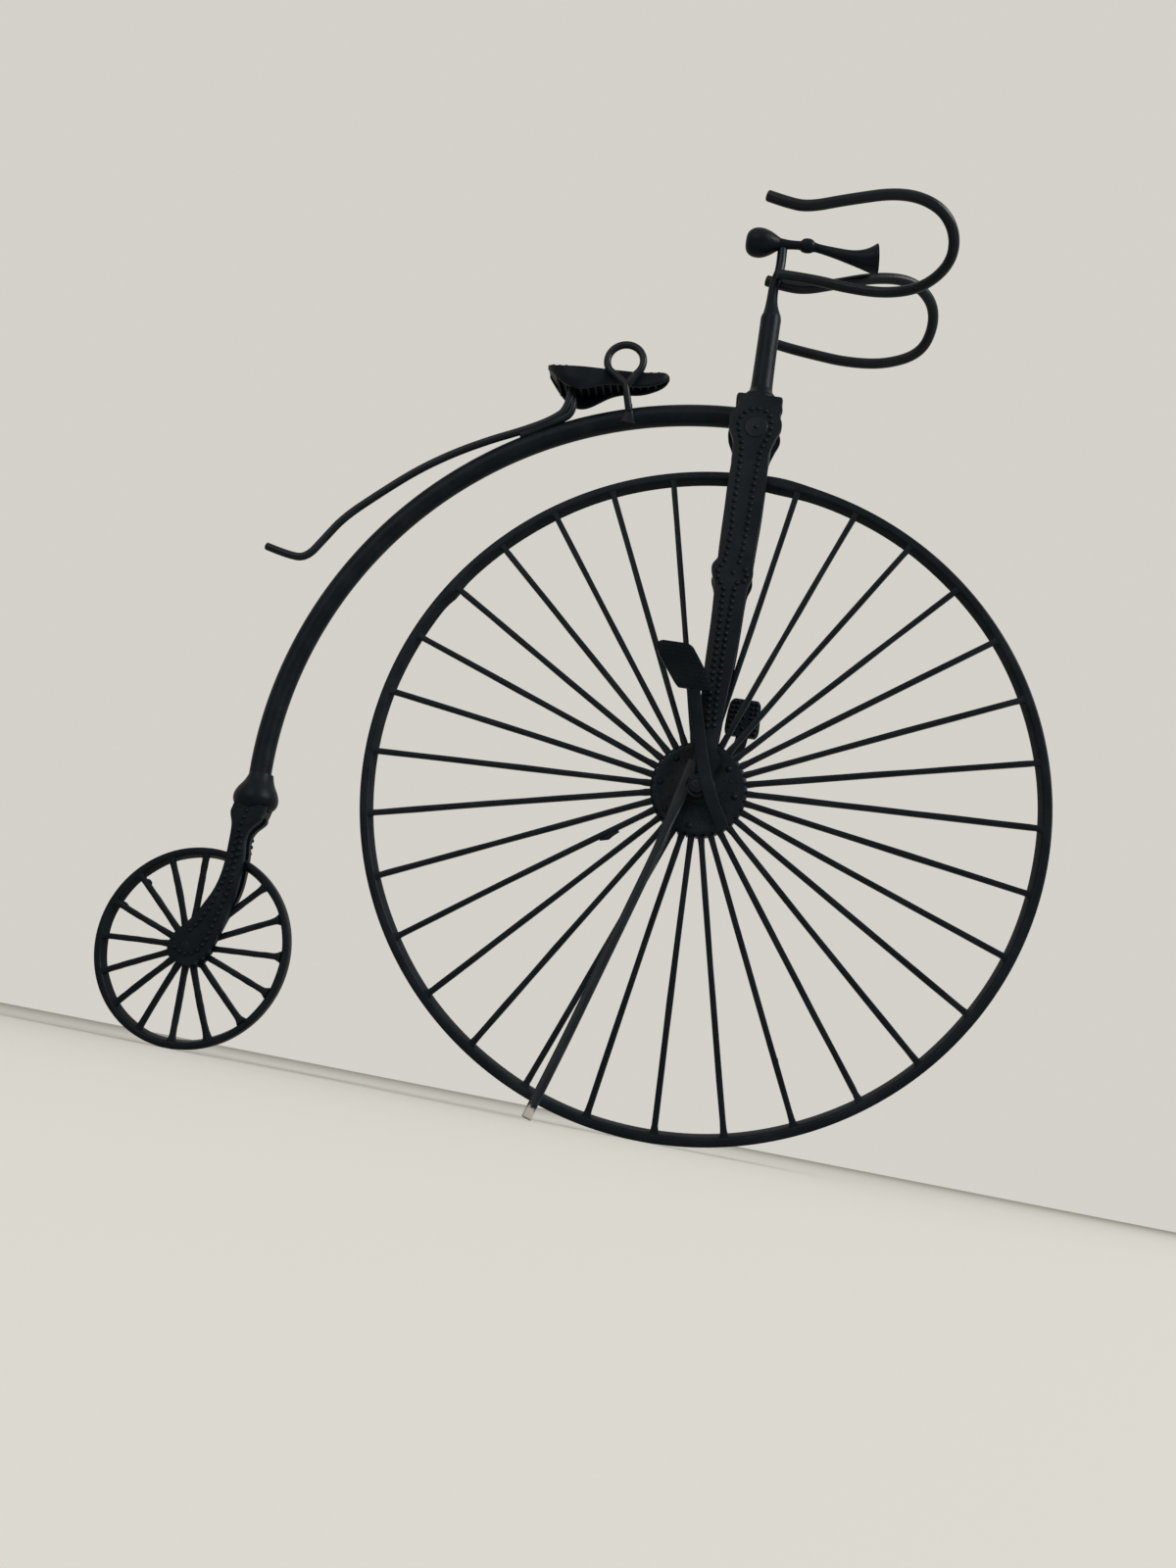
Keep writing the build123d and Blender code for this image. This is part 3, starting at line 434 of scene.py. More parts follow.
def bead_line(rows, pitch):
    """Spots spaced evenly by a pitch along a line of rows."""
    p = np.asarray(rows, float)
    run = run_along(p)
    spots = np.linspace(0, run[-1], round(run[-1] / pitch) + 1)
    return np.stack([np.interp(spots, run, column) for column in p.T], axis=-1)


# A cast bead, rows of (share of its height over the face, share of its radius)
BEAD_ROWS = [(-0.5, 0.0), (-0.5, 0.9), (0.05, 1.0), (0.5, 0.87), (0.85, 0.5), (1.0, 0.0)]


def domes(places, way, radius, height, around=8):
    """The same small turned bead at each place, all standing one way."""
    rows = np.array(BEAD_ROWS) * (height, radius)
    one = turned(rows, (0, 0, 0), way, AHEAD, around).reshape(-1, 3)
    return copies(places[:, None] + one, cells(len(rows), around))


def beads(spots, y, side, radius, height, around=8):
    """Beads on a face that looks along Y, at (x, z) spots."""
    x, z = np.transpose(spots)
    return domes(xyz(x, y, z), (0, side, 0), radius, height, around)


print("one bead has", (len(BEAD_ROWS) - 1) * 8, "faces")

# %% [markdown]
# The backbone, bars, spring, horn post and eye are round wire and tube with a circle for a section. A real
# bend starts and ends softly, so each route is rounded by second-degree arcs between its measured rows.

# %% Backbone, horn post and bars
BACKBONE_ARC, BACKBONE_RADIUS = 93.85, 2.47
BACKBONE_CENTRE = (-4.4, 70.2)


def arc_path(angle, out, y):
    """Points so many degrees behind the backbone's crest, so far outside its centre line, in a plane."""
    turn, reach = np.radians(angle), BACKBONE_ARC + out
    return xyz(BACKBONE_CENTRE[0] - reach * np.sin(turn), y, BACKBONE_CENTRE[1] + reach * np.cos(turn))


backbone_path = arc_path(np.linspace(-0.4, 96.2, 120), 0, 0)
add_piece("backbone_tube", [tube(backbone_path, BACKBONE_RADIUS, ASIDE, around=32, edge=0.2)],
          "cast_paint", "frame", "backbone")

NECK_TOP = 202.7
POST_ROWS = [(-1.6, 0.0, 200.6), (-1.25, 0.0, 203.4), (-1.3, -0.2, 206.5), (-1.5, -0.4, 209.6)]
POST_RADIUS = 1.15
add_piece("horn_post", [tube(smooth_path(POST_ROWS, 6), POST_RADIUS, ASIDE)],
          "wire_paint", "frame", "horn_riser")

# Handlebar wires, rows of (x, distance from the middle plane, height from the neck's top)
BAR_NEAR = [
    (-1.6, 2.17, -1.8), (7.1, 2.17, -2.2), (14.7, 2.5, -3.7), (24.0, 4.2, -5.3), (31.8, 8.5, -5.8),
    (36.6, 15.4, -4.0), (36.2, 21.7, -0.9), (31.8, 25.9, 2.4), (23.4, 27.0, 4.1), (11.6, 27.05, 0.8),
    (4.0, 27.0, -1.75), (-0.6, 27.0, -1.25), (-5.4, 26.95, 0.15),
]
BAR_FAR = [
    (-4.3, 2.17, -0.8), (1.0, 2.17, -1.9), (5.5, 2.17, -2.0), (11.0, 2.6, 0.0), (21.4, 4.8, 4.9),
    (30.2, 8.5, 7.6), (36.2, 14.0, 6.5), (38.1, 20.5, 3.8), (36.3, 25.9, -0.8), (28.0, 27.0, -4.3),
    (18.0, 27.05, -4.9), (9.0, 27.0, -3.7), (3.5, 26.95, -2.9), (-1.4, 26.9, -1.9),
]
BAR_RADIUS, FAR_BAR_RADIUS = 1.2, 1.29


def bar(rows, side):
    """A bar's route: its rows with the distance from the middle plane laid to one side."""
    x, out, up = np.transpose(rows)
    return smooth_path(xyz(x, side * out, NECK_TOP + up), 9)


# Where the near bar's paint has chipped: spots, and how far each reaches in metres
bend_chips = [(parked((27.9, -26.2, 207.0)), 0.0011), (parked((30.4, -25.4, 206.0)), 0.0008),
              (parked((-4.3, -27.0, 202.9)), 0.0009)]
chipped_wire = black_paint("chipped_wire", **WIRE_FINISH, chips=bend_chips)
add_piece("bar_near", [tube(bar(BAR_NEAR, NEAR), BAR_RADIUS, ABOVE, around=22, edge=0.45)],
          "wire_paint", "frame", "handlebar_near", paint=chipped_wire)
add_piece("bar_far", [tube(bar(BAR_FAR, FAR), FAR_BAR_RADIUS, ABOVE, around=22, edge=0.45)],
          "wire_paint", "frame", "handlebar_far")

# %% Saddle spring and hanging eye
# Spring, rows of (degrees behind the crest, distance outside the backbone's centre line)
SPRING_ROWS = [
    (22.3, 12.0), (23.8, 4.8), (26.6, 3.0), (30.9, 2.9), (35.7, 4.1), (40.9, 5.5), (46.4, 6.9),
    (52.3, 8.1), (57.5, 9.8), (61.2, 9.8), (64.7, 10.2), (65.7, 14.4), (66.2, 20.2),
]
SPRING_RADIUS, SPRING_Y = 0.92, -2.2
spring_angle, spring_out = np.array(SPRING_ROWS).T
spring_path = smooth_path(arc_path(spring_angle, spring_out, SPRING_Y), 9)
web_rows = smooth_path([(23.0, 7.6), (23.3, 3.4), (26.2, 2.3), (31.6, 2.2)], 8).T
web_path = arc_path(*web_rows, SPRING_Y + 0.3)
add_piece("spring_wire", [
    tube(spring_path, SPRING_RADIUS, ASIDE, around=18, edge=0.3),
    tube(web_path, SPRING_RADIUS * 0.95, ASIDE, around=18, edge=0.3),
], "wire_paint", "frame", "saddle_spring")

EYE_CENTRE = (-32.98, -4.35, 172.7)
EYE_RADIUS, EYE_WIRE = 4.22, 0.86
EYE_FOOT = np.array([-30.1, -2.7, 159.3])


def eye_path():
    """Up the leg, round the ring's large arc and back down to the junction of its two strands."""
    x, y, z = EYE_CENTRE
    junction = np.array([x + 0.95, y, z - 5.7])
    leg = smooth_path([EYE_FOOT + (0, -0.6, 1.4), (x + 1.9, y, z - 8.4), junction], 6)
    turn = np.radians(np.linspace(221, -41, 64))
    ring = xyz(x + EYE_RADIUS * np.cos(turn), y, z + EYE_RADIUS * np.sin(turn))
    return np.vstack([leg, ring, junction + (0.35, 0.1, -0.2)])


foot_path = smooth_path(EYE_FOOT + [(-0.2, -0.55, 3.2), (0, -0.35, 1.2), (0, 0.25, -0.9)], 6)
foot_spread = np.linspace(0, 1, len(foot_path))
foot_grow = np.stack([0.7 + 1.2 * foot_spread ** 1.6, 0.7 + 0.1 * foot_spread], axis=-1)
foot_section = rounded(SQUARE, 0.9, 4)
add_piece("eye_loop", [
    tube(eye_path(), EYE_WIRE, ASIDE, around=16, edge=0.2),
    shell(carried(foot_path, foot_section, ASIDE, foot_grow)),
], "wire_paint", "frame", "hanging_eye")

# %% [markdown]
# A cast wheel is one moulding: a rim with a draft, flat spokes with widened feet, and a hub disc whose edge
# is notched between the spokes. Flash from the mould still clings to a few spokes.

# %% Rims, spokes, flash and hub discs
RIM_HALF, SPOKE_HALF = 1.25, 0.63


def rim(centre, radius, ring, draft, bulges=()):
    """The rim's drafted section turned round the wheel's axis. Each bulge swells it at one turn, by its own
    amount inwards and outwards."""
    section = rounded([(-RIM_HALF, radius - ring), (-RIM_HALF, radius), (RIM_HALF, radius),
                       (RIM_HALF, radius - ring - draft)], 0.45, 4)

    def wave(radii, turn):
        """The inner side is slowly uneven all round, and bell curves of the turn make the bulges."""
        inside = (radii < radius - 0.5) * 1.0
        moved = radii - inside * (0.05 * np.sin(5 * turn + 1) + 0.04 * np.sin(13 * turn))
        for where, inwards, outwards, width in bulges:
            bell = np.exp(-((turn - math.radians(where)) / math.radians(width)) ** 2)
            moved = moved + (outwards * (1 - inside) - inwards * inside) * bell
        return moved

    grid = turned(section, centre, ASIDE, AHEAD, 288, wave)
    return shell(grid, ends=False, rows_close=True)


def spokes(centre, hub, end, count, phase, seed, off):
    """Flat drafted bars. Each row across a spoke has its own width, wider in the foot at the rim, and a
    slow sideways wander that differs from spoke to spoke. The mould had them a little off the middle."""
    rng = np.random.default_rng(seed)
    reach = np.concatenate([hub + np.array([-0.6, 0.6, 2]), np.linspace(hub + 4, end - 3, 8),
                            end + np.array([-1.5, -0.8, -0.3, 0.4])])
    wide = np.full(len(reach), SPOKE_HALF)
    wide[:2] = 0.72
    wide[-4:] = (0.64, 0.70, 0.88, 1.2)
    section = rounded([(-1, -1.12), (1, -1.12), (1.08, -0.1), (-1.08, -0.1)], 0.28)
    wide = wide[:, None] * (1 + 0.035 * rng.standard_normal((count, len(reach), 1)))
    span = (reach - hub) / (end - hub)
    wander = 0.10 * rng.standard_normal((count, 1)) * np.sin(np.pi * np.clip(span, 0, 1))
    wander += 0.012 * rng.standard_normal((count, len(reach)))
    sideways, outward = section[:, 0] * wide + wander[..., None], reach[:, None]
    turn = np.radians(phase + 360 / count * np.arange(count))[:, None, None]
    x = centre[0] + off[0] + outward * np.sin(turn) + sideways * np.cos(turn)
    z = centre[2] + off[1] + outward * np.cos(turn) - sideways * np.sin(turn)
    points = xyz(x, centre[1] + section[:, 1], z).reshape(count, -1, 3)
    return copies(points, cells(len(reach), len(section)))


def flash(spots, seed):
    """Ragged lumps of casting flash: small balls whose radius changes at random from point to point."""
    rng = np.random.default_rng(seed)
    turn, height = even_turns(9), np.linspace(-1, 1, 6)[:, None]
    level = np.sqrt(1 - height ** 2)
    ball = xyz(np.cos(turn) * level, height, np.sin(turn) * level)
    parts = []
    for x, z, long, thick, tilt in spots:
        lumpy = ball * (1 + 0.28 * rng.standard_normal((1, 9, 1)) * (1 - height[..., None] ** 2))
        c, s = math.cos(math.radians(tilt)), math.sin(math.radians(tilt))
        along, over = lumpy[..., 0] * long, lumpy[..., 2] * thick
        grid = xyz(x + along * c - over * s, -0.65 + 0.45 * lumpy[..., 1], z + along * s + over * c)
        parts.append(shell(grid, ends=False))
    return parts


def hub_disc(centre, radius, half, boss, boss_half, notches, phase):
    """A disc with a raised boss. A wave of the turn bites notches into its edge between the spokes."""
    rows = [(-boss_half, 0), (-boss_half, boss - 0.4), (-boss_half + 0.25, boss), (-half - 0.1, boss + 0.25),
            (-half + 0.06, boss + 1.0), (-half, radius - 1.8), (-half - 0.12, radius - 1.1),
            (-half, radius - 0.35), (-half + 0.35, radius), (half - 0.35, radius), (half, radius - 0.35),
            (half, boss + 0.6), (boss_half - 0.2, boss), (boss_half, boss - 0.3), (boss_half, 0)]

    def wave(radii, turn):
        """Near the disc's edge the radius falls in a narrow notch half way between two spokes."""
        tooth = np.cos(notches * (np.pi / 2 - turn - math.radians(phase)))
        bite = np.clip(-tooth - 0.35, 0, 1) * 0.75
        return radii - bite * np.clip((radii - radius + 1.1) / 1.1, 0, 1)

    grid = turned(rows, centre, ASIDE, AHEAD, notches * 8, wave)
    return shell(grid, ends=False)


def on_spoke(centre, phase, count, number, reach, beside, long, thick):
    """A lump's row from the spoke it clings to: its number, how far out it is, and how far beside it."""
    turn = math.radians(phase + 360 / count * number)
    x = centre[0] + reach * math.sin(turn) + beside * math.cos(turn)
    z = centre[2] + reach * math.cos(turn) - beside * math.sin(turn)
    return x, z, long, thick, 90 - math.degrees(turn)


print("rims are", 2 * RIM_HALF, "mm wide and spokes", 2 * SPOKE_HALF)

# %% Both wheels
REAR_RADIUS = 22.2
FRONT_CENTRE, REAR_CENTRE = (0.0, 0.0, FRONT_RADIUS), (-103.8, 0.0, REAR_RADIUS)
FRONT_SPOKES, REAR_SPOKES = 32, 16
FRONT_PHASE, REAR_PHASE = -2.4, -3.3
# Bulges of the front rim, the second at the casting's gate: turn, inwards, outwards, width
RIM_BULGES = [(210.5, 0.55, 0.0, 1.7), (275.5, 0.35, 0.35, 4.5)]
# Lumps of flash: the spoke's number, how far out and how far beside it, half length, half thickness
FRONT_FLASH = [
    (-3, 71.3, 0.45, 1.2, 0.5), (-3, 56.1, 0.5, 1.3, 0.45), (14, 60.0, -0.4, 1.4, 0.5),
    (-11, 21.6, -0.5, 2.6, 0.8), (-11, 25.9, 0.5, 1.6, 0.5), (-10, 25.0, 0.5, 1.3, 0.4),
    (-7, 31.0, 0.4, 1.0, 0.35), (-4, 44.0, 0.45, 1.6, 0.3), (3, 49.0, -0.4, 0.9, 0.3),
    (1, 73.0, 0.0, 1.4, 1.0),
]
REAR_FLASH = [
    (-2, 18.1, 0.5, 1.0, 0.42), (-3, 19.3, 0.5, 1.3, 0.5), (-5, 10.5, 0.45, 1.2, 0.5),
    (-6, 10.0, 0.4, 1.0, 0.5),
]
front_flash = [on_spoke(FRONT_CENTRE, FRONT_PHASE, FRONT_SPOKES, *row) for row in FRONT_FLASH]
turns = math.radians(3) + even_turns(8)
hub_domes = np.stack([8.2 * np.sin(turns), FRONT_RADIUS + 8.2 * np.cos(turns)], axis=-1)
# Grains of the casting's skin on the near side of the hub disc, outside its boss
rng = np.random.default_rng(7)
grains = rng.uniform(-9, 9, (140, 2)) + (0, FRONT_RADIUS)
away = np.hypot(grains[:, 0], grains[:, 1] - FRONT_RADIUS)
grains = grains[(away < 9.2) & (away > 3.9)]
front_parts = [
    rim(FRONT_CENTRE, FRONT_RADIUS, ring=1.85, draft=0.9, bulges=RIM_BULGES),
    spokes(FRONT_CENTRE, hub=10.6, end=73.2, count=FRONT_SPOKES, phase=FRONT_PHASE, seed=3, off=(0.0, 0.40)),
    hub_disc((0.3, 0.0, FRONT_RADIUS + 0.15), radius=10.55, half=1.7, boss=3.4, boss_half=2.6,
             notches=FRONT_SPOKES, phase=FRONT_PHASE),
    beads(hub_domes, -1.72, NEAR, radius=0.72, height=0.5, around=12),
    beads(hub_domes, 1.68, FAR, radius=0.72, height=0.5, around=12),
    beads(grains, -1.64, NEAR, radius=0.26, height=0.16, around=6),
    *flash(front_flash, seed=5),
]
add_piece("front_wheel_cast", front_parts, "cast_paint", "front_wheel", "front_wheel")

rear_flash = [on_spoke(REAR_CENTRE, REAR_PHASE, REAR_SPOKES, *row) for row in REAR_FLASH]
rear_parts = [
    rim(REAR_CENTRE, REAR_RADIUS, ring=1.5, draft=0.7),
    spokes(REAR_CENTRE, hub=4.6, end=20.6, count=REAR_SPOKES, phase=REAR_PHASE, seed=11, off=(-0.55, 0.12)),
    hub_disc(REAR_CENTRE, radius=4.6, half=1.0, boss=2.4, boss_half=1.6,
             notches=REAR_SPOKES, phase=REAR_PHASE),
    *flash(rear_flash, seed=9),
]
add_piece("rear_wheel_cast", rear_parts, "cast_paint", "rear_wheel", "rear_wheel")

# %% [markdown]
# The fork's two blades are thin castings with scalloped heads, a medallion, and two rows of beads down
# each face. A blade is a stack of level cuts, each from its rear edge to its fore edge.

# %% Front fork, as measured
# Inner and outer faces from the middle plane: the far blade is the thinner one
BLADE_IN, BLADE_OUT = 2.9, {NEAR: 4.8, FAR: 3.9}
# The blade's outline, rows of (height, rear edge, fore edge)
BLADE_ROWS = [
    (72.4, -0.5, 0.5), (72.7, -1.4, 1.4), (73.5, -2.3, 2.3), (75, -2.6, 2.6), (77, -2.5, 2.9),
    (79.0, -2.2, 3.3), (80.0, -2.1, 3.9), (81.3, -2.0, 4.2), (82.4, -1.9, 3.7), (83.4, -1.8, 2.9),
    (90, -2.1, 2.95), (96.5, -2.5, 3.2), (103.4, -2.85, 3.6), (108, -2.95, 3.7), (113, -3.1, 3.7),
    (118, -3.4, 3.65), (120.6, -3.6, 3.65), (122.2, -4.0, 3.8), (123.2, -4.4, 4.2), (124.4, -4.9, 4.5),
    (125.4, -5.0, 4.4), (126.4, -4.7, 4.2), (127.4, -3.9, 4.1), (128.8, -4.05, 4.1),
    (134, -4.25, 4.12), (140, -4.4, 4.2), (144, -4.6, 4.1), (147.8, -4.65, 4.0), (150.3, -4.6, 3.85),
    (152.2, -4.65, 3.6), (153.6, -4.8, 3.5), (155.2, -4.95, 3.75), (156.2, -5.1, 4.0),
    (157.1, -5.4, 4.3), (158.2, -5.95, 4.6), (159.3, -6.5, 5.1), (160.6, -6.8, 5.45),
    (161.8, -7.0, 5.3), (162.7, -6.9, 4.9), (163.5, -6.5, 4.55), (164.3, -5.9, 4.75),
    (165.1, -5.4, 5.05), (165.9, -5.35, 4.6), (166.7, -5.6, 4.2), (167.4, -5.6, 4.2),
]
# Its rows of beads, lines of (x, height), from the crown down
BLADE_BEADS = [
    [(-0.5, 164.4), (-2.5, 164.0), (-3.7, 162.9), (-4.5, 161.3), (-4.5, 159.7), (-3.8, 157.8),
     (-3.05, 155.6), (-2.7, 153.4), (-2.65, 150.0), (-2.55, 146.5), (-2.4, 142.0), (-2.3, 138.5),
     (-2.0, 134.5), (-2.05, 130.5), (-2.3, 126.9)],
    [(1.2, 164.0), (2.5, 162.8), (3.0, 161.0), (2.9, 158.9), (2.2, 156.6), (1.45, 154.4),
     (1.35, 150.0), (1.25, 146.0), (1.3, 140.0), (1.3, 134.5), (1.25, 130.0), (0.95, 126.8)],
    [(-1.5, 120.2), (-1.4, 117.0), (-1.2, 114.0), (-1.05, 111.0), (-0.95, 108.4), (-0.8, 102.0),
     (-0.6, 96.0), (-0.25, 91.0), (0.0, 88.4)],
    [(0.9, 120.4), (0.85, 117.3), (0.8, 114.4), (0.7, 111.0), (0.7, 108.1), (0.85, 102.0), (1.0, 96.0),
     (1.2, 91.0), (1.4, 88.8)],
]
MEDALLION_BEADS = [
    (-2.9, 125.6), (-3.4, 124.2), (-3.3, 122.8), (-2.4, 121.6), (0.05, 124.2), (2.6, 125.3),
    (3.1, 124.0), (2.7, 122.6), (1.3, 121.9),
]
print("blade outline of", len(BLADE_ROWS), "rows and", len(BLADE_BEADS), "lines of beads")

# %% Plates and the fork's blades
def plate(rows, y_in, y_out, edge=0.45, crown=0.12, thinning=np.ones_like):
    """A cast plate from level rows of (height, rear edge, fore edge). Each row's section goes up the rear
    side, over a rounded edge, across a slightly crowned face and down the fore side."""
    rows = smooth_path(rows)
    share = np.linspace(-1, 1, 7)[1:-1]
    flat, full = np.zeros(5), np.ones(5)

    def both(border, inner):
        """Three points of a border, those between, and the border's three turned round."""
        return np.concatenate([border, inner, border[::-1]])

    side = np.concatenate([[-1, -1, -1], share, [1, 1, 1]])
    inset, drop = both([0, 0, 0.3 * edge], flat), both([0, edge, 0.3 * edge], flat)
    face, lift = both([0, 1, 1], full), both([0, 0, 0], crown * (1 - share ** 2))
    z, rear, fore = rows.T[..., None]
    middle, half, between = (rear + fore) / 2, (fore - rear) / 2, both([0, 0, 0], full) > 0
    x = middle + side * np.where(between, np.maximum(half - edge, 0.05), half - inset)
    direction = 1 if y_out > y_in else -1
    thick = abs(y_out - y_in) * thinning(z)
    return shell(xyz(x, y_in + direction * (face * thick - drop + lift), z))


def blade_thinning(z):
    """Full thickness above the lower lobe, sloping to 0.8 of it round the axle."""
    return np.clip(0.8 + 0.2 * (z - 77) / 7, 0.8, 1.0)


def blade(side):
    """One blade with its four rows of beads and the beads of its medallion."""
    outer = side * (BLADE_OUT[side] + 0.06)
    upper = np.vstack([bead_line(rows, pitch=1.6) for rows in BLADE_BEADS[:2]])
    lower = np.vstack([bead_line(rows, pitch=1.5) for rows in BLADE_BEADS[2:]])
    return [
        plate(BLADE_ROWS, side * BLADE_IN, side * BLADE_OUT[side], thinning=blade_thinning),
        beads(upper, outer, side, radius=0.6, height=0.46),
        beads(lower, outer, side, radius=0.62, height=0.62),
        beads(MEDALLION_BEADS, outer, side, radius=0.6, height=0.5),
    ]


add_piece("blade_near", blade(NEAR), "cast_paint", "frame", "fork_blade_near")
add_piece("blade_far", blade(FAR), "cast_paint", "frame", "fork_blade_far")

BOSS_SPOT, BOSS_HIGH = (-0.4, 159.8), 0.3
# The boss, rows of (height over the blade, radius)
BOSS_ROWS = [(-BOSS_HIGH, 0), (-BOSS_HIGH, 2.7), (0.12, 2.7), (0.26, 2.55), (BOSS_HIGH, 2.3), (BOSS_HIGH, 0)]
boss_parts = []
for side in (NEAR, FAR):
    foot = (BOSS_SPOT[0], side * BLADE_OUT[side], BOSS_SPOT[1])
    top = side * (BLADE_OUT[side] + BOSS_HIGH)
    boss_parts.append(shell(turned(BOSS_ROWS, foot, (0, side, 0), AHEAD, around=48), ends=False))
    boss_parts.append(beads([BOSS_SPOT], top, side, radius=0.6, height=0.4, around=12))
add_piece("crown_boss", boss_parts, "pin_paint", "frame", "crown_rivet")

# %% [markdown]
# The head: a block between the blades takes the backbone's end, a cap with soft corners lies over it, and
# the stem rises from the cap on a foot that flares like a trumpet set on its mouth.

# %% Crown and stem
def block(low, high, edge, bulge=0.0):
    """A block with rounded edges: rounded level outlines, drawn in at its top and bottom, and swollen
    towards the middle of its fore and aft faces."""
    low, high = np.array(low, float), np.array(high, float)
    middle, half = (low + high) / 2, (high - low) / 2
    tall = 2 * half[2]
    levels = np.array([0, 0.3 * edge, edge, tall - edge, tall - 0.3 * edge, tall])[:, None]
    insets = np.array([edge, 0.3 * edge, 0, 0, 0.3 * edge, edge])[:, None]
    around = [(-1, -1), (0, -1), (1, -1), (1, -0.5), (1, 0), (1, 0.5)]
    corners = np.array(around + [(-x, -y) for x, y in around])
    plan = rounded(corners * half[:2], edge)
    swollen = 1 + bulge / half[0] * (1 - (plan[:, 1] / half[1]) ** 2)
    x = middle[0] + plan[:, 0] * swollen * (1 - insets / half[0])
    y = middle[1] + plan[:, 1] * (1 - insets / half[1])
    return shell(xyz(x, y, low[2] + levels))


CAP_TOP = 168.3
STEM_FOOT = np.array([-0.75, 0.0, CAP_TOP])
STEM_LEAN = math.radians(1.7)
STEM_AXIS = (-math.sin(STEM_LEAN), 0, math.cos(STEM_LEAN))
add_piece("crown_cast", [
    block((-4.9, -2.95, 152.2), (3.7, 2.95, 166.8), edge=0.5),
    block((-5.95, -4.72, 166.3), (4.6, 4.3, CAP_TOP), edge=0.6, bulge=0.1),
], "cast_paint", "frame", "crown_block")

# The stem, rows of (height over the cap, radius)
STEM_ROWS = [
    (-0.4, 4.3), (0.6, 4.3), (1.4, 3.9), (2.0, 3.3), (2.7, 2.8), (3.6, 2.58), (5.4, 2.5), (10, 2.45),
    (18.0, 2.40), (21.0, 2.40), (22.0, 2.46), (22.7, 2.28),
]
# The bent neck above it, rows of (x, height, radius)
NECK_ROWS = [
    (-1.4, 190.8, 2.25), (-1.6, 192.2, 1.85), (-1.8, 193.9, 1.45), (-1.95, 196.0, 1.25),
    (-2.0, 198.5, 1.2), (-1.9, 200.5, 1.2), (-1.5, 202.4, 1.1),
]
stem_profile = np.vstack([[(-0.4, 0)], smooth_path(STEM_ROWS), [(23.1, 1.8), (23.2, 0)]])
neck = smooth_path(NECK_ROWS)
neck_path = xyz(neck[:, 0], 0, neck[:, 1])
add_piece("stem_turned", [
    shell(turned(stem_profile, STEM_FOOT, STEM_AXIS, AHEAD), ends=False),
    shell(carried(neck_path, circle(24), ASIDE, np.repeat(neck[:, 2:], 2, axis=1))),
], "cast_paint", "frame", "stem")

# %% Horn
HORN_Y, MOUTH_TIP = -0.9, 0.16
# The pear-shaped bulb, rows of (x, height of its middle, radius)
BULB_ROWS = [
    (-10.4, 209.65, 0.02), (-10.4, 209.65, 1.3), (-9.9, 209.65, 2.45), (-8.8, 209.65, 3.2),
    (-7.5, 209.65, 3.4), (-6.2, 209.65, 3.3), (-5.0, 209.7, 2.9), (-3.9, 209.75, 2.35),
    (-3.1, 209.8, 1.85), (-2.4, 209.85, 1.45),
]
# The trumpet, rows of (x, height of its middle, radius): sleeve, tube, knob and bell, and back inside
TRUMPET_ROWS = [
    (-3.0, 209.8, 1.5), (-1.5, 209.85, 1.25), (-0.2, 209.9, 1.05), (2.4, 210.0, 0.98),
    (2.75, 210.05, 1.1), (3.1, 210.1, 1.5), (3.9, 210.1, 1.68), (4.8, 210.1, 1.66),
    (5.5, 210.05, 1.45), (5.9, 209.95, 1.05), (7.5, 209.6, 1.0), (10.4, 209.05, 1.18),
    (12.6, 208.6, 1.38), (14.6, 208.2, 1.6), (16.6, 207.95, 1.95), (18.4, 207.9, 2.45),
    (19.8, 208.05, 3.0), (20.6, 208.2, 3.45), (21.0, 208.3, 3.6), (21.15, 208.3, 3.5),
    (20.95, 208.25, 3.2), (20.1, 208.05, 2.6), (18.4, 207.95, 1.8), (16.0, 208.0, 1.1),
    (13.0, 208.5, 0.6),
]


def horn_part(rows):
    """Rings across the X axis, each with its own middle and radius. Towards the mouth they tip over, top
    edge backwards, to MOUTH_TIP of their radius."""
    x, z, radius = smooth_path(rows, 4).T[..., None]
    rise, aside = radius * np.cos(even_turns(32)), radius * np.sin(even_turns(32))
    tip = MOUTH_TIP * np.clip((x - 8) / 8, 0, 1)
    return shell(xyz(x - tip * rise, HORN_Y + aside, z + rise))


add_piece("bulb", [horn_part(BULB_ROWS)], "cast_paint", "frame", "horn_bulb")
add_piece("trumpet", [horn_part(TRUMPET_ROWS)], "cast_paint", "frame", "horn_trumpet")

# %% [markdown]
# The saddle is a thin hollow casting. Its section at each station goes down the outside of one flank,
# round its lip, up inside, across the ceiling and back, so that its ribbed hollow is there to be seen.

# %% Saddle
SADDLE_X, _, SADDLE_Z = arc_path(22.85, 0, 0)
# Rows of (x from the post, half width, top edge, lower edge), nose to tail
SADDLE_ROWS = [
    (18.3, 0.55, 15.6, 14.8), (17.9, 1.3, 15.9, 14.1), (17.0, 1.9, 15.9, 13.3),
    (15.5, 2.2, 15.5, 12.4), (12.7, 2.6, 14.9, 11.3), (10.2, 2.9, 14.6, 11.0), (7.7, 3.3, 14.35, 11.1),
    (4.7, 4.2, 13.8, 10.4), (2.2, 5.2, 13.25, 9.1), (-0.3, 5.9, 12.85, 7.7), (-2.8, 6.3, 12.55, 7.3),
    (-5.3, 6.2, 12.4, 8.2), (-7.6, 5.4, 12.65, 10.1), (-9.0, 4.5, 13.1, 11.6), (-9.8, 3.6, 13.5, 12.4),
    (-10.4, 2.6, 13.9, 13.0),
]
SADDLE_WALL, SADDLE_CEILING, SADDLE_TUCK = 0.85, 1.7, 0.86
RIB_PITCH, RIB_HALF, RIB_DEEP = 1.75, 0.32, 1.1
saddle_rows = smooth_path(SADDLE_ROWS)


